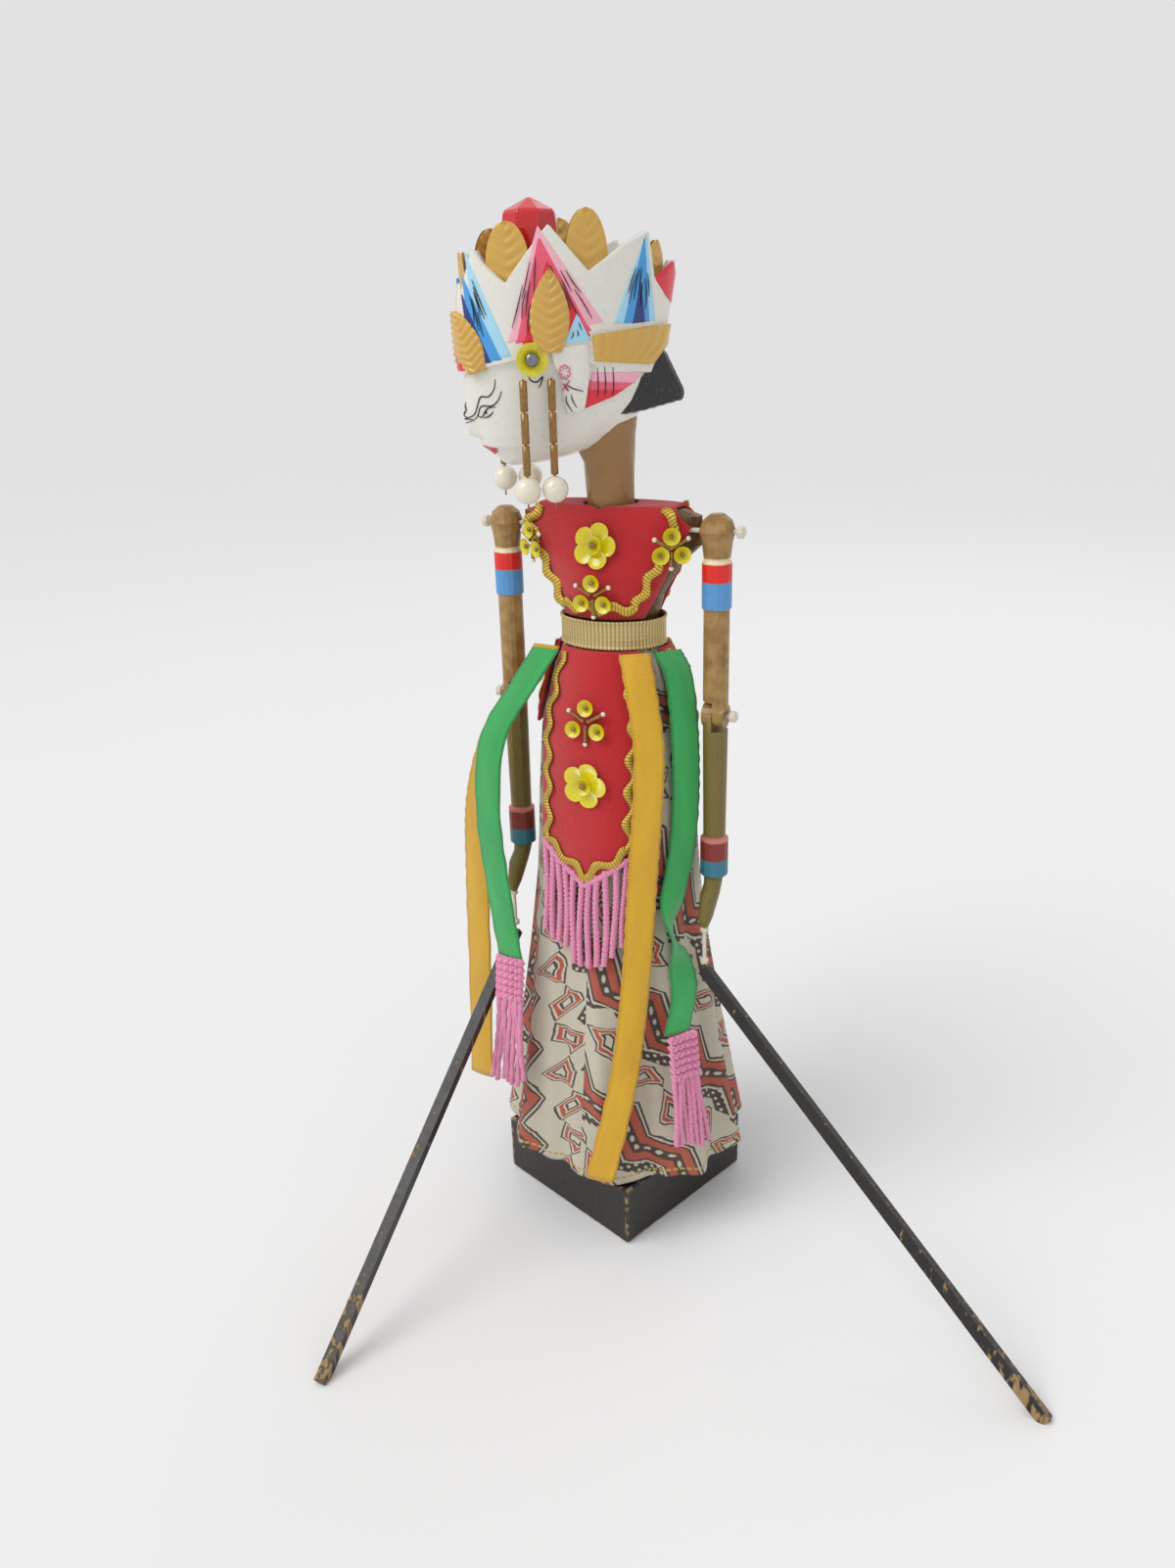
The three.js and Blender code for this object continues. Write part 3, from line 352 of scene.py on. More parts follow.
def gloss(name, base, shade, roughness=0.16, **extra):
    """Hard shiny stuff with a slight mottle."""
    sockets = {"Coat Weight": 0.4, "Coat Roughness": 0.08}
    sockets.update({key.replace("_", " "): value for key, value in extra.items()})
    paint = Paint(name, sockets)
    at = paint.place("Object", (1 / MM, 1 / MM, 1 / MM))
    mottle = paint.noise(at, 0.9, 3)
    paint.colour(paint.mix(mottle, shade, base))
    paint.roughness(mottle * 0.12 + roughness - 0.06)
    paint.bump(mottle, 0.0001, 0.4)
    return paint.material


def batik(name):
    """Wax-resist cloth: cream ground, rust bands, nested diamonds, dark dotted wedges.

    UV is millimetres round and up the skirt.
    """
    cream = tint(226, 220, 202)
    rust = tint(196, 84, 62)
    dark = tint(58, 46, 42)
    paint = Paint(name, {"Sheen Weight": 0.15, "Specular IOR Level": 0.2})
    uv = paint.place("UV")
    u, v, _ = paint.split(uv)
    wobble = (paint.noise(uv, 0.18, 3) - 0.5) * 2.4
    # Slanting bands: s runs across them and t along them.
    s = u * 0.86 + v * 0.5 + wobble
    t = v * 0.86 - u * 0.5 + wobble
    pitch = 44.0
    zigzag = abs((t * (1 / 22.0)).fract() - 0.5) * 16.0
    across = ((s + zigzag) * (1 / pitch)).fract() * pitch
    colour = paint.mix(paint.noise(uv, 0.5, 4) * 0.5, cream, tint(206, 196, 172))

    def stripe(value, middle, half, soft=0.35):
        return abs(value - middle).below(half, soft)

    band = stripe(across, 8.0, 6.0)
    colour = paint.mix(band, colour, rust)
    for edge in (1.6, 14.4, 16.4):
        colour = paint.mix(stripe(across, edge, 0.55), colour, dark)
    # Nested diamonds in the cream lane.
    cell = (t * (1 / 15.0)).fract() * 15.0 - 7.5
    lane = across - 30.0
    diamond = abs(cell) + abs(lane)
    in_lane = abs(lane).below(9.0, 0.4)
    for size, ink in ((7.4, dark), (6.5, cream), (5.6, rust), (3.9, cream), (3.2, dark), (2.1, cream)):
        colour = paint.mix(diamond.below(size, 0.35) * in_lane, colour, ink)
    # A dotted dark line down the rust band.
    spot = (t * (1 / 3.4)).fract() * 3.4 - 1.7
    reach = abs(across - 8.0)
    colour = paint.mix(reach.below(2.3, 0.4), colour, dark)
    radius = paint.math("SQRT", spot * spot + reach * reach)
    colour = paint.mix(radius.below(0.95, 0.4), colour, cream)
    # Dark wedges with rows of white dots between the lanes.
    wedge = abs((t * (1 / 30.0)).fract() * 30.0 - 15.0) - (40.5 - across) * 1.1
    in_wedge = wedge.above(4.0, 0.5) * across.above(39.0, 0.4)
    colour = paint.mix(in_wedge, colour, dark)
    dot_u = (u * (1 / 2.6)).fract() * 2.6 - 1.3
    dot_v = (v * (1 / 2.6)).fract() * 2.6 - 1.3
    dots = paint.math("SQRT", dot_u * dot_u + dot_v * dot_v).below(0.62, 0.3)
    colour = paint.mix(dots * in_wedge, colour, cream)
    # The stitched line along the hem.
    stitch = abs(v - 2.6).below(0.45, 0.3) * (u * (1 / 2.4)).fract().below(0.72, 0.08)
    colour = paint.mix(stitch, colour, tint(206, 176, 84))
    fade = paint.noise(uv, 0.05, 2)
    paint.colour(paint.mix(fade * 0.25, colour, tint(176, 160, 140)))
    paint.roughness(0.82)
    warp = (u * (2 * math.pi * 2.2)).sin()
    weft = (v * (2 * math.pi * 2.2)).sin()
    paint.bump(warp + weft + paint.noise(uv, 0.35, 3) * 3.0, 0.00012, 0.7)
    return paint.material


def painted(name, roughness=0.28):
    """Reads its colours from the mesh, with small chips and brush marks over them."""
    paint = Paint(name, {"Coat Weight": 0.15, "Coat Roughness": 0.15})
    at = paint.place("Object", (1 / MM, 1 / MM, 1 / MM))
    marks = paint.noise(at, 0.8, 5)
    colour = paint.attribute("paint")
    paint.colour(paint.mix(marks.above(0.62, 0.2) * 0.12, colour, tint(150, 130, 104)))
    paint.roughness(marks * 0.2 + roughness - 0.08)
    paint.bump(marks, 0.0002, 0.5)
    return paint.material


FINISHES = {
    "base_block": black_paint("black_paint_block", block_wear),
    "stick": black_paint("black_paint_stick", stick_wear),
    "central_rod": bare_wood("bare_wood"),
    "torso": carved_paint("bronze_paint", tint(110, 74, 32), tint(70, 46, 22), tint(158, 116, 58)),
    "arm": arm_paint("arm_paint"),
    "string": yarn("cotton_string", tint(240, 234, 220), tint(196, 184, 158)),
    "red_gloss": gloss("red_gloss", tint(226, 20, 36), tint(190, 8, 24)),
    "nail": gloss("nail_steel", tint(150, 150, 156), tint(96, 96, 100), 0.3, Metallic=0.9),
    "lemon": gloss(
        "sequin_plastic", tint(248, 238, 40), tint(232, 214, 14), 0.1, Transmission_Weight=0.25
    ),
    "bugle": gloss("bugle_glass", tint(176, 132, 60), tint(104, 70, 28), 0.2, Metallic=0.5),
    "copper": gloss("copper_thread", tint(196, 120, 50), tint(120, 66, 24), 0.35, Metallic=0.5),
    "pearl": gloss("pearl_bead", tint(240, 234, 218), tint(224, 214, 190), 0.2),
    "felt": felt("red_felt"),
    "braid": metallic_thread("gold_braid", tint(232, 200, 84), tint(140, 104, 30), 0.9),
    "belt": metallic_thread("belt_lame", tint(226, 206, 148), tint(150, 122, 66), 0.8, 0.6),
    "batik": batik("batik_cloth"),
    "yellow": satin("yellow_satin", tint(248, 200, 20), tint(206, 148, 4)),
    "green": satin("green_satin", tint(60, 206, 104), tint(8, 132, 58)),
    "pink": yarn("pink_yarn", tint(250, 172, 206), tint(236, 122, 170)),
    "painted": painted("painted_carving"),
}


# Mesh making


PLAIN = (1.0, 1.0, 1.0, 1.0)


class Shape:
    """Collects surfaces in millimetres and makes one object of them."""

    def __init__(self):
        self.points = []
        self.faces = []
        self.corner_uv = []
        self.finish = []
        self.colours = []
        self.count = 0

    def surface(self, points, finish=0, uv=None, round_u=False, round_v=False, colour=PLAIN):
        """A grid of points [rows, columns, 3]; round_u closes it across the columns."""
        rows, columns = points.shape[:2]
        self.points.append(points.reshape(-1, 3))
        self.colours.append(np.tile(colour, (rows * columns, 1)))
        wide = columns if round_u else columns - 1
        tall = rows if round_v else rows - 1
        if uv is None:
            spread = np.meshgrid(np.arange(columns + 1), np.arange(rows + 1))
            uv = np.stack(spread, axis=-1).astype(float)
        for j in range(tall):
            for i in range(wide):
                next_i = (i + 1) % columns
                next_j = (j + 1) % rows
                corners = [(j, i), (j, next_i), (next_j, next_i), (next_j, i)]
                self.faces.append([self.count + a * columns + b for a, b in corners])
                self.corner_uv.append([uv[j, i], uv[j, i + 1], uv[j + 1, i + 1], uv[j + 1, i]])
                self.finish.append(finish)
        self.count += rows * columns

    def cap(self, ring, finish=0, colour=PLAIN):
        """Closes a ring of points with one face."""
        self.points.append(np.asarray(ring))
        self.colours.append(np.tile(colour, (len(ring), 1)))
        self.faces.append(list(range(self.count, self.count + len(ring))))
        self.corner_uv.append([(0.0, 0.0)] * len(ring))
        self.finish.append(finish)
        self.count += len(ring)

    def tube(self, line, radius, finish=0, sides=8, twist=0.0, ridge=0.0, colour=PLAIN):
        """A closed tube along a line; ridge and twist give it the look of laid cord."""
        line = np.asarray(line, float)
        steps = np.linalg.norm(np.diff(line, axis=0), axis=1)
        along = np.concatenate([[0], np.cumsum(steps)])
        tangent = np.gradient(line, axis=0)
        tangent /= np.linalg.norm(tangent, axis=1)[:, None]
        side = np.cross(tangent, [0.31, 0.17, 0.93] if abs(tangent[0][2]) < 0.8 else [1.0, 0.1, 0])
        side /= np.linalg.norm(side, axis=1)[:, None]
        other = np.cross(tangent, side)
        angles = 2 * math.pi * np.arange(sides) / sides
        radii = np.broadcast_to(np.asarray(radius, float), (len(line),))
        lay = 1 + ridge * np.cos(2 * (angles[None, :] - twist * along[:, None]))
        reach = radii[:, None] * lay
        points = (
            line[:, None, :]
            + reach[..., None] * np.cos(angles)[None, :, None] * side[:, None, :]
            + reach[..., None] * np.sin(angles)[None, :, None] * other[:, None, :]
        )
        uv = np.zeros((len(line) + 1, sides + 1, 2))
        uv[..., 0] = np.arange(sides + 1) / sides
        uv[:-1, :, 1] = along[:, None]
        uv[-1, :, 1] = along[-1]
        self.surface(points, finish, uv, round_u=True, colour=colour)
        self.cap(points[0][::-1], finish, colour)
        self.cap(points[-1], finish, colour)

    def turned(self, rows, finish=0, sides=16, at=(0, 0, 0), axis=(0, 0, 1)):
        """A round body from rows of (radius, height), set at a point along an axis."""
        angles = 2 * math.pi * np.arange(sides) / sides
        rows = np.asarray(rows, float)
        points = np.stack(
            [
                rows[:, :1] * np.cos(angles),
                rows[:, :1] * np.sin(angles),
                np.repeat(rows[:, 1:], sides, axis=1),
            ],
            axis=-1,
        )
        points = turned_to(points, at, axis)
        self.surface(points, finish, round_u=True)
        self.cap(points[0][::-1], finish)
        self.cap(points[-1], finish)

    def build(self, name, finishes, body, replaced=(), slot=None, thick=0.0, smooth=True, offset=0.0):
        points = np.concatenate(self.points) * MM
        mesh = bpy.data.meshes.new(name)
        mesh.from_pydata(points.tolist(), [], self.faces)
        layer = mesh.uv_layers.new(name="UVMap")
        flat = [c for corners in self.corner_uv for pair in corners for c in pair]
        layer.data.foreach_set("uv", np.asarray(flat, np.float32))
        for finish in finishes:
            mesh.materials.append(FINISHES[finish])
        mesh.polygons.foreach_set("material_index", self.finish)
        layer = mesh.attributes.new("paint", "FLOAT_COLOR", "POINT")
        layer.data.foreach_set("color", np.concatenate(self.colours).astype(np.float32).ravel())
        mesh.validate()
        piece = bpy.data.objects.new(name, mesh)
        scene.collection.objects.link(piece)
        if smooth:
            mesh.shade_smooth()
        if thick:
            wall = piece.modifiers.new("thickness", "SOLIDIFY")
            wall.thickness = thick * MM
            wall.offset = offset
        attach(piece, body)
        if replaced:
            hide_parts(*replaced)
        return piece


def turned_to(points, at, axis):
    """Turns points made along +Z towards an axis and moves them to a place."""
    turn = Vector((0, 0, 1)).rotation_difference(Vector(axis).normalized()).to_matrix()
    return points @ np.array(turn).T + np.asarray(at, float)


# Skirt

BELT_TOP = 227.0
BELT_BOTTOM = 217.5
SKIRT_TOP = 220.5
HEM_Z = 24.9
RIBBON_TOP = 217.2
FOLDS = 9
SKIRT_ROWS = np.array([
    (24.9, 46.0, 41.0), (45, 42.5, 38), (70, 38.5, 34), (100, 34, 30), (130, 30.5, 27),
    (160, 29, 24.5), (190, 26.6, 21.6), (211.5, 20.5, 16.5), (217.2, 16.8, 12.8), (220.5, 16.5, 12.5),
])


def smoothed(rows, step=0.5, reach=9):
    """A finer table of rows with its corners rounded off."""
    heights = np.arange(rows[0, 0], rows[-1, 0] + step, step)
    columns = [heights]
    kernel = np.ones(2 * reach + 1) / (2 * reach + 1)
    for k in (1, 2):
        values = np.interp(heights, rows[:, 0], rows[:, k])
        padded = np.concatenate([
            2 * values[0] - values[reach:0:-1], values, 2 * values[-1] - values[-2:-reach - 2:-1],
        ])
        columns.append(np.convolve(padded, kernel, "valid"))
    return columns


SKIRT_TABLE = smoothed(SKIRT_ROWS)


def on_skirt(angle, z, gap=0.0):
    """Points on the skirt's outer face, in millimetres."""
    angle, z = np.broadcast_arrays(np.asarray(angle, float), np.asarray(z, float))
    down = np.clip((SKIRT_TOP - z) / (SKIRT_TOP - HEM_Z), 0, 1)
    fold = 2.6 * down**2 * np.cos(FOLDS * angle + 1.2 * np.sin(2 * angle))
    half_width = np.interp(z, SKIRT_TABLE[0], SKIRT_TABLE[1]) + fold + gap
    half_depth = np.interp(z, SKIRT_TABLE[0], SKIRT_TABLE[2]) + fold + gap
    return np.stack([half_width * np.cos(angle), half_depth * np.sin(angle), z], axis=-1)


def ripple(angle, z):
    """Small creases that run up and down, on top of the main folds."""
    down = np.clip((SKIRT_TOP - z) / (SKIRT_TOP - HEM_Z), 0, 1)
    wide = 0.5 * np.sin(23 * angle + 0.04 * z) * (0.35 + 0.65 * down)
    gathers = 0.45 * np.sin(41 * angle + 2.0 * np.sin(5 * angle)) * (1 - down) ** 3
    return wide + gathers


def make_skirt():
    columns, rows = 288, 130
    angle = -math.pi / 2 + 2 * math.pi * np.arange(columns) / columns
    z = np.linspace(HEM_Z, SKIRT_TOP - 0.5, rows)
    grid_z, grid_angle = np.meshgrid(z, angle, indexing="ij")
    wave = ripple(grid_angle, grid_z)
    lift = 0.5 * (1 + np.cos(2 * FOLDS * grid_angle)) * np.clip(1 - (grid_z - HEM_Z) / 20, 0, 1)
    points = on_skirt(grid_angle, grid_z + lift, -0.4 + wave - 0.5)
    radius = (np.interp(z, SKIRT_TABLE[0], SKIRT_TABLE[1])
              + np.interp(z, SKIRT_TABLE[0], SKIRT_TABLE[2])) / 2
    uv = np.zeros((rows + 1, columns + 1, 2))
    turn = 2 * math.pi * (np.arange(columns + 1) / columns - 0.5)
    uv[:-1, :, 0] = radius[:, None] * turn[None, :]
    uv[:-1, :, 1] = (z - HEM_Z)[:, None]
    shape = Shape()
    shape.surface(points, 0, uv, round_u=True)
    skirt = shape.build("skirt_cloth", ["batik"], "body", ["skirt"], "batik", thick=0.6)
    return skirt


# Strips, panels and braids

FELT = 1.1
FIRST_LAYER = 0.9
BRAID_LAYER = 2.3
RIBBON_WIDTH = 10.4


def curve_through(points, count):
    """A smooth curve through given points."""
    points = np.asarray(points, float)
    padded = np.concatenate([
        [2 * points[0] - points[1]], points, [2 * points[-1] - points[-2]],
    ])
    t = np.linspace(0, len(points) - 1, count)
    k = np.minimum(t.astype(int), len(points) - 2)
    f = (t - k)[:, None]
    a, b, c, d = (padded[k + n] for n in range(4))
    return 0.5 * (2 * b + (c - a) * f + (2 * a - 5 * b + 4 * c - d) * f**2
                  + (3 * b - a - 3 * c + d) * f**3)


def lengths(line):
    steps = np.linalg.norm(np.diff(line, axis=0), axis=1)
    return np.concatenate([[0], np.cumsum(steps)])


def ribbon_surface(centres, across, normals, width, columns=12, cup=0.0, picot=0.0):
    """A strip round a centre line. Cup bows it across, picot scallops its edges."""
    u = np.linspace(-0.5, 0.5, columns + 1)
    along = lengths(centres)
    edge = np.abs(2 * u) ** 6
    scallop = 1 + picot * edge[None, :] * np.sin(2 * math.pi * along[:, None] / 1.5)
    points = (
        centres[:, None, :]
        + (u[None, :] * width * scallop)[..., None] * across[:, None, :]
        + (cup * (0.25 - u**2))[None, :, None] * 4 * normals[:, None, :]
    )
    uv = np.zeros((len(centres) + 1, columns + 2, 2))
    uv[..., 0] = np.append(u, u[-1])[None, :] * width
    uv[:-1, :, 1] = along[:, None]
    uv[-1, :, 1] = along[-1]
    return points, uv


def strip_on_skirt(path, count=90):
    """Centres, across and outward directions of a strip that hangs on the skirt."""
    rows = curve_through(path, count)
    angle, z, gap = np.radians(rows[:, 0]), rows[:, 1], rows[:, 2]
    centres = on_skirt(angle, z, gap)
    sideways = on_skirt(angle + 0.02, z, gap) - on_skirt(angle - 0.02, z, gap)
    across = sideways / np.linalg.norm(sideways, axis=1)[:, None]
    tangent = np.gradient(centres, axis=0)
    normals = np.cross(across, tangent)
    normals /= np.linalg.norm(normals, axis=1)[:, None]
    outward = np.stack([np.cos(angle), np.sin(angle), 0 * angle], axis=-1)
    flip = np.sign(np.sum(normals * outward, axis=1))
    return centres, across, normals * flip[:, None]


def free_strip(points, out, count=90):
    centres = curve_through(points, count)
    out = np.asarray(out, float) / np.linalg.norm(out)
    across = np.cross(out, [0, 0, 1])
    across = np.repeat((across / np.linalg.norm(across))[None, :], count, axis=0)
    tangent = np.gradient(centres, axis=0)
    normals = np.cross(tangent, across)
    normals /= np.linalg.norm(normals, axis=1)[:, None]
    flip = np.sign(normals @ out)
    return centres, across, normals * flip[:, None]


def make_ribbon(name, strip, finish, node, slot, twist=None):
    centres, across, normals = strip
    if twist is not None:
        angle = twist(np.linspace(0, 1, len(centres)))
        cos, sin = np.cos(angle)[:, None], np.sin(angle)[:, None]
        across, normals = cos * across + sin * normals, cos * normals - sin * across
    centres = centres + 0.4 * normals
    points, uv = ribbon_surface(centres, across, normals, RIBBON_WIDTH, cup=0.5, picot=0.035)
    shape = Shape()
    shape.surface(points, 0, uv)
    piece = shape.build(name, [finish], "body", [node], slot, thick=0.35)
    return piece


YELLOW_L = [
    (-51.5, RIBBON_TOP, 4.6), (-48.5, 185, 4.3), (-53, 150, 4.0), (-58, 115, 3.9),
    (-66, 75, 3.6), (-78, 30, 3.6),
]
GREEN_L = [
    (20.8, -4, 216.2), (25.6, -5.6, 208), (28.8, -8.6, 190), (29.4, -9.2, 168),
    (28.7, -11.2, 149), (27, -15.4, 133), (27.2, -17.6, 120), (29.8, -15.8, 108),
    (31.9, -17, 97), (31.6, -23.4, 84),
]
LEFT_OUT = (0.77, -0.64, 0.0)
LEFT_TASSEL = (-37.0, 84.0)
YELLOW_R = [
    (-20.4, -9.4, 216.2), (-26, -14, 205), (-37, -19, 187), (-46, -19, 160), (-50, -17, 125),
    (-51, -18, 85), (-52, -20, 42),
]
GREEN_R = [
    (-18.4, -14.2, 216.2), (-24, -21, 205), (-33, -28, 187), (-36, -29, 160), (-33, -30, 130),
    (-29, -31.5, 106),
]
RIGHT_OUT = (-0.1, -1.0, 0.0)
TASSEL_LEAN = 0.12


def curl(v):
    """A short twist two thirds of the way down a ribbon."""
    return 1.1 * np.exp(-(((v - 0.68) / 0.08) ** 2))


def make_ribbons():
    yellow, green = ("yellow", "yellow_satin"), ("green", "green_satin")
    for name, strip, finish, slot, node, twist in (
        ("ribbon_yellow_left", strip_on_skirt(YELLOW_L), *yellow, "ribbon_yellow_l", None),
        ("ribbon_green_left", free_strip(GREEN_L, LEFT_OUT), *green, "ribbon_green_l", curl),
        ("ribbon_yellow_right", free_strip(YELLOW_R, RIGHT_OUT), *yellow, "ribbon_yellow_r", None),
        ("ribbon_green_right", free_strip(GREEN_R, RIGHT_OUT), *green, "ribbon_green_r", None),
    ):
        make_ribbon(name, strip, finish, node, slot, twist)


def panel_point(u, v, shape, gap):
    """Points on a felt panel: u across from 0 to 1, v down from 0 to 1."""
    degrees, width, length, point = shape
    reach = length - point * np.abs(2 * u - 1)
    z = RIBBON_TOP - reach * v
    middle = math.radians(degrees)
    centre = on_skirt(middle, z)
    radius = np.hypot(centre[..., 0], centre[..., 1])
    half = width * (0.7 + 0.3 * np.minimum(1, 3 * v)) / 2 / radius
    return on_skirt(middle + (2 * u - 1) * half, z, gap)


def make_panel(name, shape, node, columns=60, rows=90):
    u, v = np.meshgrid(np.linspace(0, 1, columns), np.linspace(0, 1, rows))
    puff = 0.25 * np.sin(5 * math.pi * v) * np.sin(math.pi * u)
    points = panel_point(u, v, shape, FIRST_LAYER + FELT / 2 + puff)
    made = Shape()
    made.surface(points)
    piece = made.build(name, ["felt"], "body", [node], "felt", thick=FELT * 0.9)
    return piece


def braid_surface(path, normals, width=2.9, wave=0.75, pitch=11.0):
    """A wavy flat braid along a path that lies on cloth."""
    along = lengths(path)
    tangent = np.gradient(path, axis=0)
    tangent /= np.linalg.norm(tangent, axis=1)[:, None]
    across = np.cross(normals, tangent)
    across /= np.linalg.norm(across, axis=1)[:, None]
    centres = path + (wave * np.sin(2 * math.pi * along / pitch))[:, None] * across
    return ribbon_surface(centres, across, normals, width, columns=8, cup=0.45, picot=0.05)


def make_panel_braid(name, shape, node):
    """Braid down both sides and along the lower edge of a felt panel."""
    inset = BRAID_INSET / shape[1]
    low = 1 - BRAID_INSET / shape[2]
    down = np.linspace(0.02, low, 120)
    over = np.linspace(inset, 1 - inset, 70)
    u = np.concatenate([0 * down + inset, over[1:-1], 0 * down + 1 - inset])
    v = np.concatenate([down, 0 * over[1:-1] + low, down[::-1]])
    path = panel_point(u, v, shape, BRAID_LAYER + 0.25)
    lifted = panel_point(u, v, shape, BRAID_LAYER + 1.25)
    normals = lifted - path
    normals /= np.linalg.norm(normals, axis=1)[:, None]
    points, uv = braid_surface(path, normals, wave=1.35)
    made = Shape()
    made.surface(points, 0, uv)
    return made.build(name, ["braid"], "body", [node], "gold_braid", thick=0.7)


APRON = (-90.0, 32.0, 79.0, 13.0)
HIP_LEFT = (15.0, 26.0, 30.0, 0.0)
HIP_RIGHT = (165.0, 26.0, 30.0, 0.0)
BRAID_INSET = 3.6


def make_panels():
    make_panel("apron_felt", APRON, "apron")
    make_panel_braid("apron_edging", APRON, "apron_braid")
    for side, shape in (("l", HIP_LEFT), ("r", HIP_RIGHT)):
        make_panel(f"hip_felt_{side}", shape, f"hip_panel_{side}", 30, 30)
        make_panel_braid(f"hip_edging_{side}", shape, f"hip_braid_{side}")


# Fringe and tassels

FRINGE_LENGTH = 34.0
FRINGE_STRANDS = 12
STRAND = 2.2


def make_fringe():
    shape = Shape()
    _, width, length, point = APRON
    half = width / 2 - 0.5
    middle = -math.pi / 2

    def hang(u, z, gap):
        centre = on_skirt(middle, z)
        radius = np.hypot(centre[..., 0], centre[..., 1])
        return on_skirt(middle + (2 * u - 1) * half / radius, z, gap)

    for n in range(FRINGE_STRANDS):
        u = (n + 0.5) / FRINGE_STRANDS
        edge = RIBBON_TOP - length + point * abs(2 * u - 1) + 1.0
        drop = FRINGE_LENGTH + RNG.uniform(-2.5, 1.0)
        z = np.linspace(edge, edge - drop, 40)
        sway = u + 0.012 * np.sin(np.linspace(0, 5, 40) + RNG.uniform(0, 6))
        line = hang(sway, z, FIRST_LAYER + STRAND / 2)
        shape.tube(line, STRAND / 2, 0, sides=10, twist=1.9, ridge=0.2)
    u = np.linspace(0.02, 0.98, 60)
    edge = RIBBON_TOP - length + point * np.abs(2 * u - 1)
    shape.tube(hang(u, edge - 0.3, FIRST_LAYER + 1.2), 1.1, 0, sides=8, twist=1.9, ridge=0.2)
    return shape.build("pink_fringe", ["pink"], "body", ["apron_fringe"], "pink_yarn")


def make_tassel(name, node, path, length):
    """A crocheted header with strands under it; path(drop) gives its middle and way out."""
    shape = Shape()
    header = 16.0
    for k in range(6):
        drop = 1.2 + k * (header - 1.6) / 5.2
        centre, out = path(drop)
        across = np.cross(out, [0, 0, 1])
        spots = np.linspace(-0.5, 0.5, 26)
        loop = 0.55 * np.abs(np.sin(spots * math.pi * 5))
        line = centre + spots[:, None] * (RIBBON_WIDTH + 0.6) * across
        line = line + loop[:, None] * out - np.array([0, 0, 1.0]) * (1.2 * loop)[:, None]
        shape.tube(line, 1.35, 0, sides=8, twist=1.4, ridge=0.2)
    for n in range(7):
        u = (n + 0.5) / 7 - 0.5
        line = []
        sway = RNG.uniform(0, 6)
        reach = length + RNG.uniform(-4, 0)
        for s in np.linspace(0, 1, 30):
            centre, out = path(header - 1 + s * reach)
            across = np.cross(out, [0, 0, 1])
            offset = u * RIBBON_WIDTH * (1 + 0.45 * s) + 0.4 * math.sin(5 * s + sway)
            line.append(centre + offset * across + 0.3 * math.cos(4 * s + sway) * out)
        shape.tube(line, 0.95, 0, sides=8, twist=2.2, ridge=0.22)
    return shape.build(name, ["pink"], "body", [node], "pink_yarn")


def make_tassels():
    angle = math.radians(LEFT_TASSEL[0])
    out_left = np.array([math.cos(angle), math.sin(angle), 0.0])
    make_tassel(
        "tassel_left", "tassel_l",
        lambda drop: (on_skirt(angle, LEFT_TASSEL[1] - drop, 4.4), out_left), 30,
    )
    out_right = np.array(RIGHT_OUT) / np.linalg.norm(RIGHT_OUT)
    end = np.array(GREEN_R[-1], float)
    make_tassel(
        "tassel_right", "tassel_r",
        lambda drop: (
            end + (0.4 + drop * TASSEL_LEAN) * out_right - np.array([0, 0, drop]), out_right,
        ), 36,
    )


# Belt and bib

TORSO_ROWS = np.array([
    (209, 14, 10), (224, 15, 11), (234, 18, 12.5), (244, 24, 12.5), (251, 31.6, 10),
    (260, 31.6, 9), (262, 25.6, 8),
])


def make_belt():
    columns, rows = 240, 30
    angle = 2 * math.pi * np.arange(columns) / columns
    z = np.linspace(BELT_BOTTOM + 0.1, BELT_TOP - 0.1, rows)
    grid_z, grid_angle = np.meshgrid(z, angle, indexing="ij")
    middle = (BELT_TOP + BELT_BOTTOM) / 2
    part = np.abs(grid_z - middle) / (BELT_TOP - BELT_BOTTOM) * 2
    cord = 0.45 * np.exp(-(((part - 0.9) / 0.1) ** 2))
    rib = 0.12 * np.sin(80 * grid_angle)
    reach = 2.75 + cord + rib
    points = np.stack([
        (15 + reach) * np.cos(grid_angle), (11 + reach) * np.sin(grid_angle), grid_z,
    ], axis=-1)
    uv = np.zeros((rows + 1, columns + 1, 2))
    uv[..., 1] = np.arange(columns + 1)[None, :] / columns * 100
    uv[:-1, :, 0] = z[:, None]
    shape = Shape()
    shape.surface(points, 0, uv, round_u=True)
    return shape.build("belt_band", ["belt"], "body", ["belt"], "belt_elastic", thick=0.8)


def on_torso(angle, z, gap):
    """Points on the chest, grown by a gap."""
    half_width = np.interp(z, TORSO_ROWS[:, 0], TORSO_ROWS[:, 1]) + gap
    half_depth = np.interp(z, TORSO_ROWS[:, 0], TORSO_ROWS[:, 2]) + gap
    return np.stack([half_width * np.cos(angle), half_depth * np.sin(angle), z + 0 * angle], axis=-1)


BIB_LOW = BELT_TOP + 0.6
BIB_TOP = 262.0
BIB_ON_TOP = 0.14
NECK_HOLE = 9.2


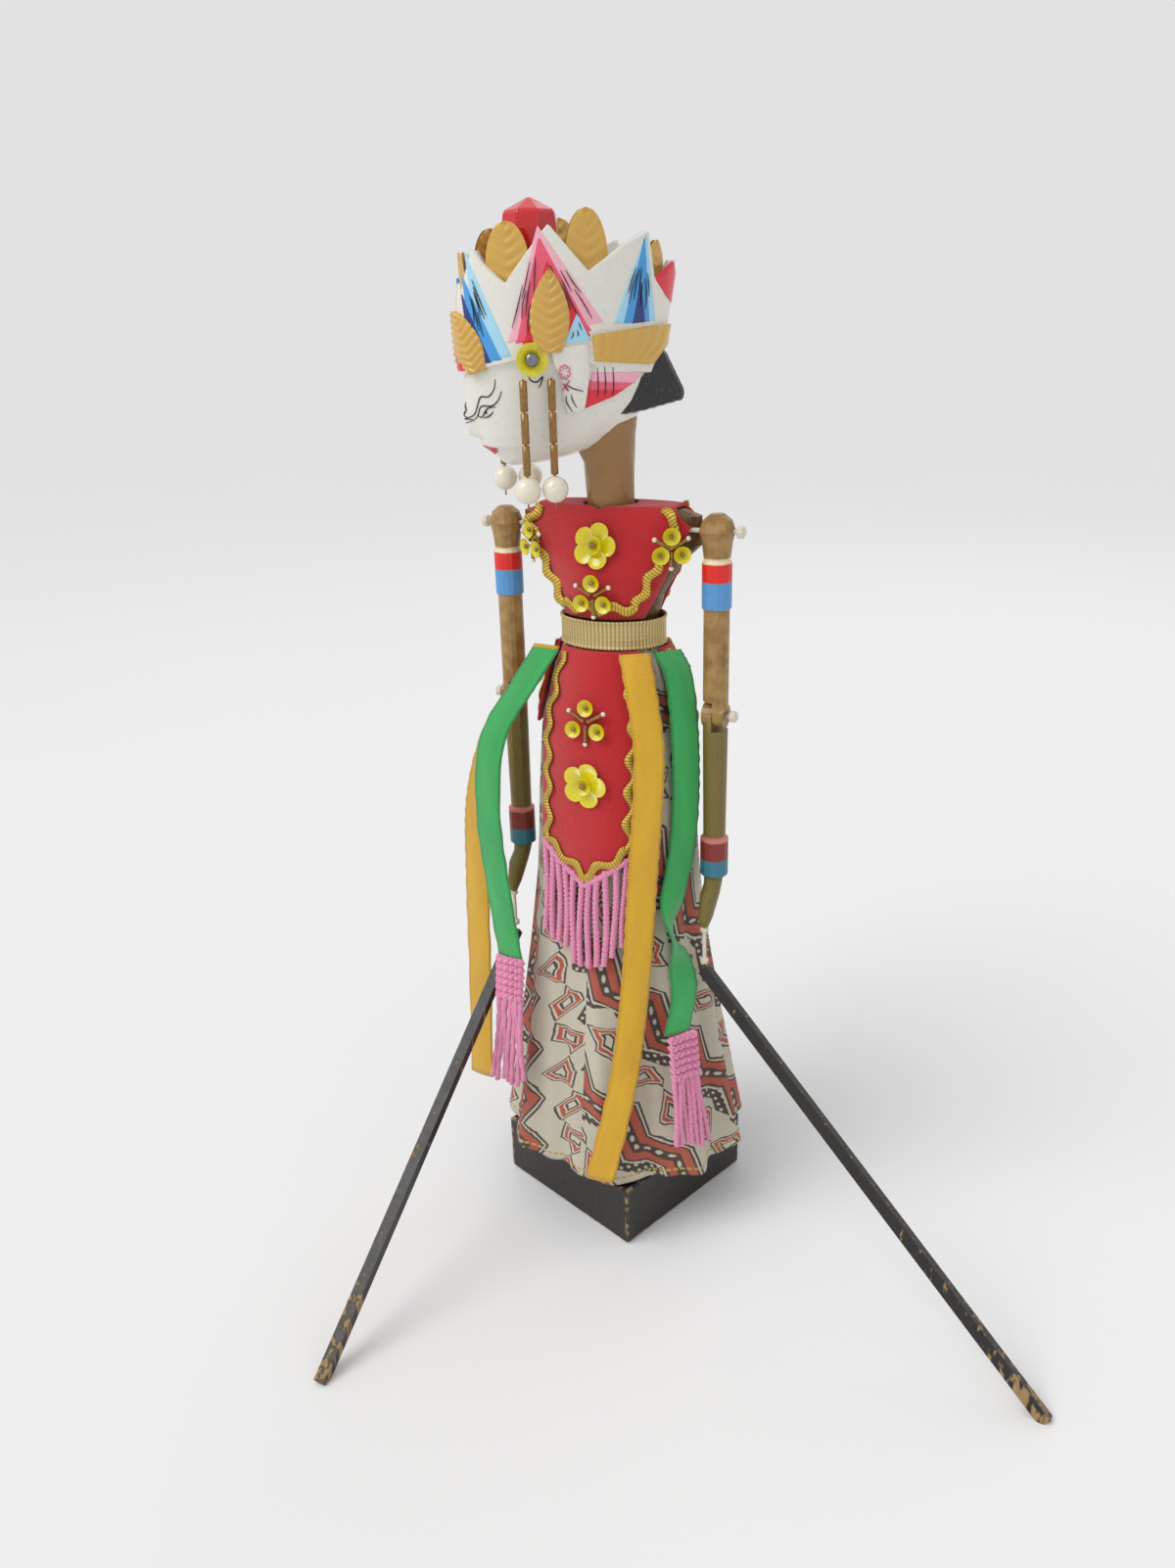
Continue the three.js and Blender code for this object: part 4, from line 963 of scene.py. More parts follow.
def bib_point(u, v, gap):
    """Points on the bib: u across from -1 to 1, v from the front hem (-1) to the back's (1)."""
    u, v = np.broadcast_arrays(np.asarray(u, float), np.asarray(v, float))
    fall = np.clip((np.abs(v) - BIB_ON_TOP) / (1 - BIB_ON_TOP), 0, 1)
    z = BIB_TOP - fall * (BIB_TOP - BIB_LOW)
    x = u * np.interp(z, [BIB_LOW, 257, BIB_TOP], [14, 29.4, 24])
    width = np.interp(z, TORSO_ROWS[:, 0], TORSO_ROWS[:, 1]) + gap
    depth = np.interp(z, TORSO_ROWS[:, 0], TORSO_ROWS[:, 2]) + gap
    reach = depth * np.sqrt(np.clip(1 - (x / width) ** 2, 0, 1))
    y = reach * np.clip(v / BIB_ON_TOP, -1, 1)
    lift = gap * np.clip(1 - fall * 12, 0, 1)
    return np.stack([x, y, z + lift], axis=-1)


def make_bib():
    """A felt poncho with a round neck hole, over both shoulders."""
    columns, rows = 90, 180
    u, v = np.meshgrid(np.linspace(-1, 1, columns), np.linspace(-1, 1, rows))
    points = bib_point(u, v, FIRST_LAYER)
    reach = np.hypot(points[..., 0], points[..., 1])
    inside = (reach < NECK_HOLE) & (points[..., 2] > 254)
    push = np.where(inside, NECK_HOLE / np.maximum(reach, 0.01), 1.0)
    points[..., 0] *= push
    points[..., 1] *= push
    shape = Shape()
    shape.surface(points)
    gone = inside.ravel()
    kept = [k for k, face in enumerate(shape.faces) if not all(gone[n] for n in face)]
    for values in (shape.faces, shape.corner_uv, shape.finish):
        values[:] = [values[k] for k in kept]
    bib = shape.build("felt_bib", ["felt"], "body", ["bib"], "felt", thick=FELT * 0.9)


def make_bib_braid(name, node, side):
    """Wavy braid down both edges and along the hem of one face of the bib."""
    low = 1 - BRAID_INSET / 38
    down = np.linspace(BIB_ON_TOP + 0.02, low, 90)
    over = np.linspace(-0.78, 0.78, 50)
    edge = 0.9 - 0.12 * down**2
    u = np.concatenate([-edge, over[1:-1], edge[::-1]])
    v = side * np.concatenate([down, 0 * over[1:-1] + low, down[::-1]])
    path = bib_point(u, v, BRAID_LAYER + 0.1)
    out = bib_point(u, v, BRAID_LAYER + 1.1) - path
    normals = out / np.linalg.norm(out, axis=1)[:, None]
    points, uv = braid_surface(path, normals, wave=0.9, pitch=9.0)
    made = Shape()
    made.surface(points, 0, uv)
    made.build(name, ["braid"], "body", [node], "gold_braid", thick=0.7)


# Sequins


def petals(shape, size, at, axis, finish):
    """A five-petalled plastic sequin, dished towards its middle."""
    angles = 2 * math.pi * np.arange(60) / 60
    outline = size / 2 * (0.74 + 0.26 * np.abs(np.cos(2.5 * angles)) ** 0.7 * 1.0)
    rings = []
    for share, height in ((0.12, 0.3), (0.35, 0.2), (0.6, 0.55), (0.85, 0.95), (1.0, 1.1)):
        reach = outline * share if share > 0.4 else np.full(60, size / 2 * share)
        ring = [reach * np.cos(angles), reach * np.sin(angles), 0 * angles + height]
        rings.append(np.stack(ring, axis=-1))
    under = [ring - np.array([0, 0, 0.35]) for ring in rings[::-1]]
    points = turned_to(np.array(rings + under), at, axis)
    shape.surface(points, finish, round_u=True, round_v=True)


def cup(shape, radius, at, axis, finish):
    """A faceted cup sequin with a hole in its middle."""
    rows = [
        (radius * 0.16, 0.25), (radius * 0.45, 0.3), (radius, 1.5), (radius * 0.98, 1.75),
        (radius * 0.42, 0.62), (radius * 0.16, 0.55),
    ]
    angles = 2 * math.pi * np.arange(12) / 12
    points = np.array([
        [(r * math.cos(a), r * math.sin(a), h) for a in angles] for r, h in rows
    ])
    shape.surface(turned_to(points, at, axis), finish, round_u=True, round_v=True)


def bead(shape, radius, at, finish, axis=(0, 0, 1), squeeze=0.85):
    rows = []
    for k in range(9):
        lean = math.pi * (k / 8 - 0.5) * 0.94
        rows.append((radius * math.cos(lean), radius * squeeze * math.sin(lean)))
    shape.turned(rows, finish, 12, at, axis)


def flower(name, node, at, axis, size, body="body"):
    shape = Shape()
    at = np.asarray(at, float)
    axis = np.asarray(axis, float) / np.linalg.norm(axis)
    petals(shape, size, at, axis, 0)
    cup(shape, 3.1, at + 0.9 * axis, axis, 0)
    bead(shape, 1.1, at + 2.2 * axis, 1, axis)
    return shape.build(name, ["lemon", "bugle"], body, [node], "sequin", smooth=False)


def cluster(name, node, at, axis, spread):
    """Three cup sequins with bugle and seed beads between them."""
    shape = Shape()
    at = np.asarray(at, float)
    axis = np.asarray(axis, float) / np.linalg.norm(axis)
    side = np.cross([0, 0, 1.0], axis)
    side /= np.linalg.norm(side)
    up = np.cross(axis, side)
    for k in range(3):
        angle = math.pi / 2 + 2 * math.pi * k / 3
        way = math.cos(angle) * side + math.sin(angle) * up
        cup(shape, 2.9, at + spread * way + 0.2 * axis, axis, 0)
        bead(shape, 0.85, at + spread * way + 1.3 * axis, 1, axis)
        angle += math.pi / 3
        way = math.cos(angle) * side + math.sin(angle) * up
        start, end = at + 0.8 * way + 0.9 * axis, at + (spread + 1.6) * way + 0.9 * axis
        shape.tube(np.linspace(start, end, 4), 0.65, 1, sides=8)
        bead(shape, 0.8, at + (spread + 2.2) * way + 0.9 * axis, 2, axis)
    return shape.build(name, ["lemon", "bugle", "pearl"], "body", [node], "sequin", smooth=False)


def make_sequins():
    front = -math.pi / 2
    lift = FIRST_LAYER + FELT

    def on_bib(angle, z):
        at = on_torso(angle, z, lift)
        above = on_torso(angle, z + 5, lift)
        below = on_torso(angle, z - 5, lift)
        around = np.array([-math.sin(angle), 0.6 * math.cos(angle), 0])
        out = np.cross(around, above - below)
        return at, out / np.linalg.norm(out)

    at, out = on_bib(front, 251)
    flower("chest_rosette", "chest_flower", at + 0.8 * out, out, 15)
    for name, node, angle, z, spread in (
        ("belly_beads", "belly_cluster", front, 235.5, 4.5),
        ("shoulder_beads_l", "shoulder_cluster_l", front + 0.8, 251, 4.0),
        ("shoulder_beads_r", "shoulder_cluster_r", front - 0.8, 251, 4.0),
    ):
        at, out = on_bib(angle, z)
        cluster(name, node, at + 0.5 * out, out, spread)
    felt_face = FIRST_LAYER + FELT + 0.4
    cluster("apron_beads", "apron_cluster", on_skirt(front, 195, felt_face), (0, -1, 0.12), 5)
    flower("apron_rosette", "apron_flower", on_skirt(front, 174, felt_face), (0, -1, 0), 16)


# Head and crown
# Worked out in the head's own directions: it faces -Y, and +X is its left side. In the
# side view a point is given as (s, z), with s how far it shows behind the neck's axis.

HEAD_YAW = math.radians(-50)
SIDE_WIDTH = 0.225
SIDE_DEPTH = 0.974
HEAD_ROWS = np.array([
    # z, half width, front, back
    (276.8, 1.6, -32.6, -26.0), (277.6, 4.2, -34.4, -20.0), (279.0, 7.6, -35.8, -13.0),
    (281.0, 10.2, -37.6, -6.0), (283.0, 11.8, -40.6, -1.0), (286.0, 13.3, -41.8, 4.0),
    (290.0, 14.8, -42.8, 9.0), (295.0, 15.8, -44.2, 12.5), (300.0, 16.5, -45.0, 14.5),
    (306.0, 17.2, -45.6, 16.0), (316.0, 18.0, -45.8, 17.6), (330.0, 18.6, -45.0, 20.0),
    (350.0, 19.0, -43.0, 23.0),
])
NOSE_ROWS = np.array([
    (285.2, 0.0), (285.9, 1.8), (286.6, 3.2), (289.0, 3.2), (292.4, 2.6), (296.0, 0.9),
    (300.0, 0.3), (304.0, 0.0),
])
NOSE_WIDTH = 1.9


def skin(phi, z, gap=0.0):
    """Points on the head, from 0 at the nose round the left side to pi at the back."""
    phi, z = np.broadcast_arrays(np.asarray(phi, float), np.asarray(z, float))
    half_width, front, back = (
        np.interp(z, HEAD_ROWS[:, 0], HEAD_ROWS[:, k]) for k in (1, 2, 3)
    )
    middle, half = (front + back) / 2, (back - front) / 2
    x = (half_width + gap) * np.sin(phi)
    y = middle - (half + gap) * np.cos(phi)
    nose = np.interp(z, NOSE_ROWS[:, 0], NOSE_ROWS[:, 1])
    y = y - nose * np.exp(-((x / NOSE_WIDTH) ** 2)) * (np.cos(phi) > 0)
    return np.stack([x, y, z], axis=-1)


def seen_at(side, z):
    """The angle round the head at which a point of the side view lies."""
    half_width, front, back = (
        np.interp(z, HEAD_ROWS[:, 0], HEAD_ROWS[:, k]) for k in (1, 2, 3)
    )
    across, along = SIDE_WIDTH * half_width, SIDE_DEPTH * (back - front) / 2
    reach = (side - SIDE_DEPTH * (front + back) / 2) / np.hypot(across, along)
    return np.arctan2(along, across) + np.arcsin(np.clip(reach, -1, 1))


def to_row(points):
    """Turns the head's own directions to the row frame."""
    cos, sin = math.cos(HEAD_YAW), math.sin(HEAD_YAW)
    x, y, z = points[..., 0], points[..., 1], points[..., 2]
    return np.stack([x * cos - y * sin, x * sin + y * cos, z], axis=-1)


def along_line(line, count):
    """Evenly spaced points on a polyline."""
    line = np.asarray(line, float)
    reach = lengths(line)
    t = np.linspace(0, reach[-1], count)
    return np.stack([np.interp(t, reach, line[:, k]) for k in range(line.shape[1])], axis=-1)


MIRRORED = np.array([-1.0, 1.0, 1.0])


def both_sides(shape, points, **how):
    shape.surface(to_row(points), **how)
    shape.surface(to_row((points * MIRRORED)[:, ::-1]), **how)


def patch(shape, left, right, colour, lift=0.25, relief=None, columns=14, rows=30, on=skin):
    """A painted or carved patch between two lines of the side view, on both sides."""
    first, last = along_line(left, rows), along_line(right, rows)
    u = np.linspace(0, 1, columns)
    spots = first[:, None, :] * (1 - u[None, :, None]) + last[:, None, :] * u[None, :, None]
    side, z = spots[..., 0], spots[..., 1]
    gap = np.full(side.shape, float(lift))
    if relief is not None:
        grid_v = np.repeat(np.linspace(0, 1, rows)[:, None], columns, axis=1)
        gap = gap + relief(np.repeat(u[None, :], rows, axis=0), grid_v)
    gap[0], gap[-1], gap[:, 0], gap[:, -1] = -0.5, -0.5, -0.5, -0.5
    both_sides(shape, on(seen_at(side, z), z, gap), colour=colour)


def stroke(shape, line, colour=(0.01, 0.01, 0.012, 1), radius=0.24, gap=0.1, on=skin):
    """A brush line on both sides, thin at its ends."""
    spots = curve_through(line, 8 * len(line))
    middle = on(seen_at(spots[:, 0], spots[:, 1]), spots[:, 1], gap)
    taper = radius * (0.35 + 0.65 * np.sin(np.linspace(0.15, math.pi - 0.15, len(spots))))
    for mirror in (np.ones(3), MIRRORED):
        shape.tube(to_row(middle * mirror), taper, 0, sides=6, colour=colour)


WHITE = tint(228, 226, 216)
LIGHT_PINK = tint(244, 178, 194)
DARK_PINK = tint(236, 88, 116)
CROWN_RED = tint(222, 26, 54)
LIGHT_BLUE = tint(166, 216, 240)
MID_BLUE = tint(66, 156, 224)
NAVY = tint(34, 52, 122)
GILT = tint(212, 168, 78)
HAIR = tint(26, 26, 30)
NECK_GOLD = tint(150, 110, 58)


def make_face():
    """The face, skull and neck, with the nose, lips and painted lines."""
    shape = Shape()
    columns, rows = 220, 120
    phi = 2 * math.pi * np.arange(columns) / columns - math.pi
    z = np.linspace(276.8, 312.0, rows)
    grid_z, grid_phi = np.meshgrid(z, phi, indexing="ij")
    # More columns near the nose than at the back of the head.
    grid_phi = grid_phi - 0.35 * np.sin(grid_phi)
    points = skin(np.abs(grid_phi), grid_z) * np.stack(
        [np.sign(grid_phi) + (grid_phi == 0), 1 + 0 * grid_phi, 1 + 0 * grid_phi], axis=-1
    )
    shape.surface(to_row(points), 0, round_u=True, colour=WHITE)
    shape.cap(to_row(points[0][::-1]), colour=WHITE)
    lips = tint(196, 20, 48)
    patch(
        shape, [(-40.2, 282.9), (-38.9, 281.9), (-38.0, 281.2)],
        [(-38.4, 283.0), (-36.8, 282.6), (-34.0, 282.3)], lips, 0.5, columns=8, rows=12,
    )
    patch(
        shape, [(-38.2, 281.4), (-37.4, 280.7), (-36.4, 280.2)],
        [(-36.8, 281.9), (-35.4, 281.7), (-34.4, 281.5)], lips, 0.6, columns=8, rows=12,
    )
    for line in (
        [
            (-34.3, 302.8), (-34.8, 300.1), (-36.6, 297.9), (-39.1, 297.7), (-40.3, 295.2),
            (-41.8, 291.5), (-43.0, 290.9),
        ],
        [(-32.6, 299.4), (-33.8, 296.8), (-35.8, 295.2), (-39.1, 295.0), (-40.3, 292.6), (-41.6, 290.0)],
        [(-34.8, 294.9), (-37.3, 294.3), (-39.1, 291.9), (-40.4, 292.2)],
        [(-35.4, 293.6), (-36.8, 292.2), (-38.6, 291.6)],
        [(-43.3, 295.9), (-42.5, 293.8), (-42.3, 291.5)],
        [(-23.8, 304.1), (-24.0, 302.4), (-22.0, 301.7), (-20.2, 303.1), (-21.0, 300.8), (-21.7, 300.1)],
    ):
        stroke(shape, line)
    stroke(shape, [(-38.2, 293.0), (-37.9, 293.3), (-37.5, 293.0)], radius=0.55)
    # The ear: a raised flap with a small painted flower and two lines under it.
    ear_left = [
        (-17.6, 311.5), (-17.9, 309.5), (-17.3, 306.3), (-15.6, 303.5), (-14.8, 300.8),
        (-14.6, 296.0), (-13.6, 291.8),
    ]
    ear_right = [
        (-6.0, 312.4), (-6.0, 309.0), (-6.3, 304.0), (-6.9, 300.0), (-7.4, 297.0), (-8.0, 294.5),
        (-8.8, 292.4),
    ]
    patch(
        shape, ear_left, ear_right, WHITE, 1.5, relief=lambda u, v: 0.35 * np.sin(math.pi * u),
        columns=18, rows=40,
    )

    def on_ear(phi_, z_, gap=0.0):
        return skin(phi_, z_, gap + 1.85)

    bloom = tint(222, 120, 140)
    for turn in range(7):
        angle = 2 * math.pi * turn / 7
        ring = [
            (-13.9 + 1.5 * math.cos(angle + a) * k, 304.2 + 1.9 * math.sin(angle + a) * k)
            for a, k in ((0.0, 0.4), (0.25, 1.0), (0.75, 1.05), (1.1, 0.6))
        ]
        stroke(shape, ring, bloom, 0.2, on=on_ear)
    stroke(shape, [(-14.6, 301.2), (-13.4, 299.4), (-13.0, 298.8)], tint(176, 40, 84), 0.3, on=on_ear)
    stroke(shape, [(-12.6, 301.8), (-14.8, 299.0)], tint(176, 40, 84), 0.28, on=on_ear)
    stroke(shape, [(-13.4, 300.6), (-11.8, 299.6), (-8.9, 298.6)], radius=0.2, on=on_ear)
    stroke(shape, [(-13.7, 297.6), (-13.7, 295.7), (-12.2, 292.9)], radius=0.2, on=on_ear)
    stroke(shape, [(-12.3, 297.9), (-12.0, 296.2), (-10.9, 294.0)], radius=0.2, on=on_ear)
    neck_rows = np.array([
        (254.4, 7.8, 7.8, 0.0), (258, 7.7, 7.7, 0.0), (266, 7.7, 7.7, 0.0), (276, 8.0, 8.2, -0.3),
        (284, 9.0, 10.4, -2.2), (289, 10.4, 14.0, -5.0), (293, 11.0, 17.0, -8.0),
    ])
    heights = np.linspace(254.4, 293, 60)
    angles = 2 * math.pi * np.arange(60) / 60
    half_width, half_depth, middle = (
        np.interp(heights, neck_rows[:, 0], neck_rows[:, k]) for k in (1, 2, 3)
    )
    knife = 0.08 * np.sin(9 * angles[None, :] + 0.3 * heights[:, None])
    neck = np.stack([
        (half_width[:, None] + knife) * np.cos(angles),
        middle[:, None] + (half_depth[:, None] + knife) * np.sin(angles),
        np.repeat(heights[:, None], 60, axis=1),
    ], axis=-1)
    shape.surface(to_row(neck), 0, round_u=True, colour=NECK_GOLD)
    shape.cap(to_row(neck[0][::-1]), colour=NECK_GOLD)
    return shape


# The crown's top edge, as angle round the head and height.
CROWN_EDGE = [
    (0, 316), (8, 321), (16, 329), (25, 338), (33, 334.5), (50, 328.6), (71, 343.9), (93, 331.3),
    (112, 338.6), (125, 341.8), (134, 329.4), (146, 329.4), (158, 334.8), (168, 329.0), (180, 322.0),
]


def crown_skin(phi, z, gap=0.0):
    return skin(phi, z, gap + 1.3)


def crown_foot(phi):
    """The crown's lower edge rises from the brow to the ear and drops behind it."""
    degrees = np.degrees(np.abs(phi))
    turns = [0, 20, 60, 80, 100, 140, 180]
    return np.interp(degrees, turns, [304.2, 304.8, 308.0, 310.5, 306.0, 303.0, 303.0])


def hatch(shape, corners, count, colour=(0.012, 0.012, 0.014, 1), on=crown_skin, radius=0.17):
    """Short hair lines leaning with a leaf, between its foot and its tip."""
    (foot_a, foot_b), tip = corners[:2], corners[2]
    for n in range(count):
        share = (n + 0.5) / count
        foot = np.array(foot_a) * (1 - share) + np.array(foot_b) * share
        start = foot + (np.array(tip) - foot) * RNG.uniform(0.08, 0.45)
        end = start + (np.array(tip) - foot) * RNG.uniform(0.2, 0.38)
        bend = (start + end) / 2 + RNG.uniform(-0.35, 0.35, 2)
        stroke(shape, [start, bend, end], colour, radius, gap=0.45, on=on)


def gold_leaf(shape, foot, tip, width, lift=0.6, grooves=9, on=crown_skin):
    """A carved gold leaf with slanting grooves off a middle rib."""
    foot, tip = np.array(foot, float), np.array(tip, float)
    way = tip - foot
    side = np.array([-way[1], way[0]]) / np.linalg.norm(way)
    v = np.linspace(0, 1, 60)
    half = width / 2 * np.sin(math.pi * (0.16 + 0.84 * v)) ** 0.8
    half[-1] = 0.02
    left = foot + v[:, None] * way + (half[:, None]) * side
    right = foot + v[:, None] * way - (half[:, None]) * side

    def relief(u, v_):
        slant = v_ * grooves - np.abs(2 * u - 1) * 1.3
        return 0.55 * (1 - (2 * u - 1) ** 2) + 0.3 * np.cos(2 * math.pi * slant)

    patch(shape, left, right, GILT, lift, relief, columns=22, rows=90, on=on)


def triangle(shape, foot_a, foot_b, tip, colour, lift):
    patch(
        shape, [foot_a, tip], [foot_b, (tip[0] + 0.05, tip[1])], colour, lift, columns=16,
        rows=40, on=crown_skin,
    )


def make_crown(shape):
    """The painted wall of leaves, and the gold leaves carved on it."""
    columns, rows = 300, 60
    phi = 2 * math.pi * np.arange(columns) / columns - math.pi
    edge = np.array(CROWN_EDGE, float)
    top = np.interp(np.degrees(np.abs(phi)), edge[:, 0], edge[:, 1])
    foot = crown_foot(phi)
    share = np.linspace(0, 1, rows)[:, None]
    z = foot[None, :] * (1 - share) + top[None, :] * share
    sign = np.where(phi < 0, -1.0, 1.0)[None, :, None] * np.array([1.0, 0, 0]) + np.array([0, 1.0, 1.0])
    outer = crown_skin(np.abs(phi)[None, :], z) * sign
    inner = skin(np.abs(phi)[None, :], z, -1.4) * sign
    ring = np.concatenate([outer, inner[::-1]])
    shape.surface(to_row(ring), 0, round_u=True, round_v=True, colour=WHITE)

    # Front leaf: three blues, with a carved gold leaf at its foot.
    triangle(shape, (-38.4, 307.0), (-27.8, 308.6), (-40.2, 337.6), LIGHT_BLUE, 0.15)
    triangle(shape, (-40.0, 306.8), (-30.6, 307.8), (-41.4, 331.5), MID_BLUE, 0.2)
    triangle(shape, (-40.5, 306.4), (-33.8, 307.2), (-41.9, 326.8), NAVY, 0.25)
    hatch(shape, [(-39, 307), (-30, 308.5), (-40.4, 336)], 7)
    gold_leaf(shape, (-38.4, 304.8), (-43.9, 322.0), 8.6, 0.7)
    patch(
        shape, [(-45.4, 309.5), (-44.9, 304.6)], [(-43.6, 308.4), (-41.6, 304.9)], CROWN_RED, 0.3,
        columns=6, rows=8, on=crown_skin,
    )
    # Side leaf: two pinks and red round a gold leaf, with a blue one beside it.
    triangle(shape, (-31.2, 311.8), (-0.4, 317.4), (-19.8, 343.4), LIGHT_PINK, 0.15)
    triangle(shape, (-28.6, 311.8), (-4.4, 315.0), (-19.5, 340.8), DARK_PINK, 0.2)
    triangle(shape, (-26.4, 311.8), (-4.9, 313.6), (-17.6, 334.6), CROWN_RED, 0.25)
    hatch(shape, [(-30, 312), (-22, 312), (-19.8, 343)], 6)
    hatch(shape, [(-12, 315), (-2, 317), (-19.2, 342)], 6)
    triangle(shape, (-14.4, 311.9), (-5.6, 312.6), (-9.9, 320.2), LIGHT_BLUE, 0.35)
    hatch(shape, [(-13, 312.3), (-7, 312.6), (-10, 319.5)], 3)
    gold_leaf(shape, (-17.8, 309.6), (-16.9, 332.4), 11.6, 0.9)
    # Rear leaf: blues again.
    triangle(shape, (-0.6, 316.4), (13.9, 317.2), (10.3, 341.2), LIGHT_BLUE, 0.15)
    triangle(shape, (2.6, 316.6), (11.6, 317.0), (9.8, 340.4), MID_BLUE, 0.2)
    triangle(shape, (5.6, 316.8), (9.9, 317.1), (8.5, 328.8), NAVY, 0.25)
    hatch(shape, [(1, 317), (12, 317.4), (9.8, 340)], 7)
    # The red back point.
    patch(
        shape, [(12.6, 329.2), (15.9, 331.8), (19.0, 334.4)],
        [(16.2, 324.6), (18.6, 321.9), (20.2, 329.0)], CROWN_RED, 0.2, on=crown_skin,
    )

    # The wing behind the ear, with upright grooves.
    def wing_relief(u, v):
        rim = np.where(v > 0.82, 0.35, 0.0)
        return 0.7 + 0.45 * np.abs(np.sin(math.pi * (7 * u + 0.4 * v))) * (v < 0.82) + rim

    patch(
        shape, [(-5.9, 314.2), (-5.5, 310.5), (-5.3, 306.9)],
        [(17.6, 317.0), (16.2, 311.0), (11.0, 305.2)], GILT, 0.5, wing_relief, columns=90,
        rows=30, on=crown_skin,
    )
    for low, high, colour in (
        ([(-5.6, 306.6), (12.4, 305.6)], [(-5.9, 303.7), (10.6, 303.0)], WHITE),
        ([(-5.9, 304.2), (10.8, 303.4)], [(-6.7, 300.9), (7.0, 299.8)], LIGHT_PINK),
        ([(-6.6, 301.8), (7.8, 300.6)], [(-7.4, 298.4), (3.6, 298.2)], DARK_PINK),
        ([(-7.2, 299.6), (4.8, 298.8)], [(-9.0, 293.0), (0.4, 296.6)], CROWN_RED),
    ):
        patch(shape, low, high, colour, 0.9, columns=14, rows=20)
    for side in (-4.4, -2.2, 0.2):
        stroke(shape, [(side, 305.2), (side + 0.2, 300.2), (side - 0.1, 296.8)], radius=0.2, gap=1.0)


def leaf_slab(shape, phi_degrees, foot_z, tip_z, width, gap, lean):
    """A free-standing gold leaf inside the wall, grooved on both faces."""
    phi = math.radians(phi_degrees)
    middle = skin(phi, 322.0, gap)
    around = skin(phi + 0.02, 322.0, gap) - skin(phi - 0.02, 322.0, gap)
    around /= np.linalg.norm(around)
    out = np.cross(around, [0, 0, 1.0])
    rows, columns = 50, 16
    v, u = np.meshgrid(np.linspace(0, 1, rows), np.linspace(-1, 1, columns), indexing="ij")
    half = width / 2 * np.where(v < 0.55, 1.0, np.sqrt(np.clip(1 - ((v - 0.55) / 0.45) ** 2, 0.0004, 1)))
    grooves = 0.28 * np.cos(2 * math.pi * (v * 9 - np.abs(u) * 1.2)) * (v > 0.4)
    for side in (-1, 1):
        height = foot_z + (tip_z - foot_z) * v
        thick = side * (0.9 * (1 - 0.5 * u**2) + grooves * (1 - u**2))
        points = (
            middle * np.array([1, 1, 0]) + (u * half)[..., None] * around
            + (thick + lean * v)[..., None] * out + height[..., None] * np.array([0, 0, 1.0])
        )
        shape.surface(to_row(points), 0, colour=GILT)


def make_crown_inside(shape):
    for phi, tip, width in (
        (50, 345.2, 13), (-50, 345.2, 13), (96, 348.2, 13), (-96, 348.2, 13), (150, 340, 10),
        (-150, 340, 10), (0, 338, 11),
    ):
        leaf_slab(shape, phi, 318.0, tip, width, -2.6, 1.2)
    # Black hair fills the crown up to the knob.
    columns = 72
    angles = 2 * math.pi * np.arange(columns) / columns
    rings = []
    for share in np.linspace(0, 1, 16):
        reach = math.cos(share * math.pi / 2 * 0.8)
        rings.append(np.stack([
            16.5 * reach * np.cos(angles) * (1 + 0.012 * np.cos(24 * angles)),
            -13 - 9.8 * (1 - reach) + 29.0 * reach * np.sin(angles) * (1 + 0.012 * np.cos(24 * angles)),
            np.full(columns, 320.0 + 16.0 * math.sin(share * math.pi / 2)),
        ], axis=-1))
    rings = np.array(rings)
    shape.surface(to_row(rings), 0, round_u=True, colour=HAIR)
    shape.cap(to_row(rings[-1]), colour=HAIR)


def make_hair(shape):
    """The black fan of hair at the nape, a wedge that narrows to the back."""
    outline = along_line([
        (-12.5, 291.2), (-8.8, 293.4), (0.2, 297.0), (10.3, 304.0), (15.4, 309.6), (16.4, 309.2),
        (22.8, 297.8), (23.2, 296.0), (22.6, 294.2), (7.3, 291.4), (-4.8, 289.8), (-12.5, 290.4),
        (-12.5, 291.2),
    ], 90)[:-1]
    layers = []
    for across in np.linspace(-1, 1, 15):
        half = np.interp(outline[:, 0], [-12.5, 10, 23], [12.0, 11.0, 6.0])
        shrink = math.sqrt(max(0.0, 1 - abs(across) ** 6))
        centre = np.array([4.0, 297.0])
        spots = centre + (outline - centre) * (0.9 + 0.1 * shrink)
        comb = 0.12 * np.sin(outline[:, 0] * 4.5)
        layers.append(np.stack([half * across, spots[:, 0] / SIDE_DEPTH, spots[:, 1] + comb], axis=-1))
    layers = np.array(layers)
    shape.surface(to_row(layers), 0, round_u=True, colour=HAIR)
    shape.cap(to_row(layers[0][::-1]), colour=HAIR)
    shape.cap(to_row(layers[-1]), colour=HAIR)


def make_head():
    shape = make_face()
    make_crown(shape)
    make_crown_inside(shape)
    make_hair(shape)
    shape.build("carved_head", ["painted"], "head", ["head"], "head_paint")


def make_knob():
    """The faceted red knob on the crown."""
    shape = Shape()
    at = to_row(np.array([0.0, -23.0, 335.3]))
    shape.turned(
        [(6.2, 0.0), (8.4, 3.6), (8.8, 8.4), (8.3, 12.6), (7.7, 13.6), (0.8, 17.0)], 0, 8, at,
    )
    knob = shape.build("faceted_knob", ["red_gloss"], "head", ["crown_knob"], "red_gloss", smooth=False)
    bevel = knob.modifiers.new("soft_edges", "BEVEL")
    bevel.width = 0.35 * MM
    bevel.segments = 2
    return knob


EAR_Y = -28.0
EAR_Z = 308.0
EAR_X = 17.3


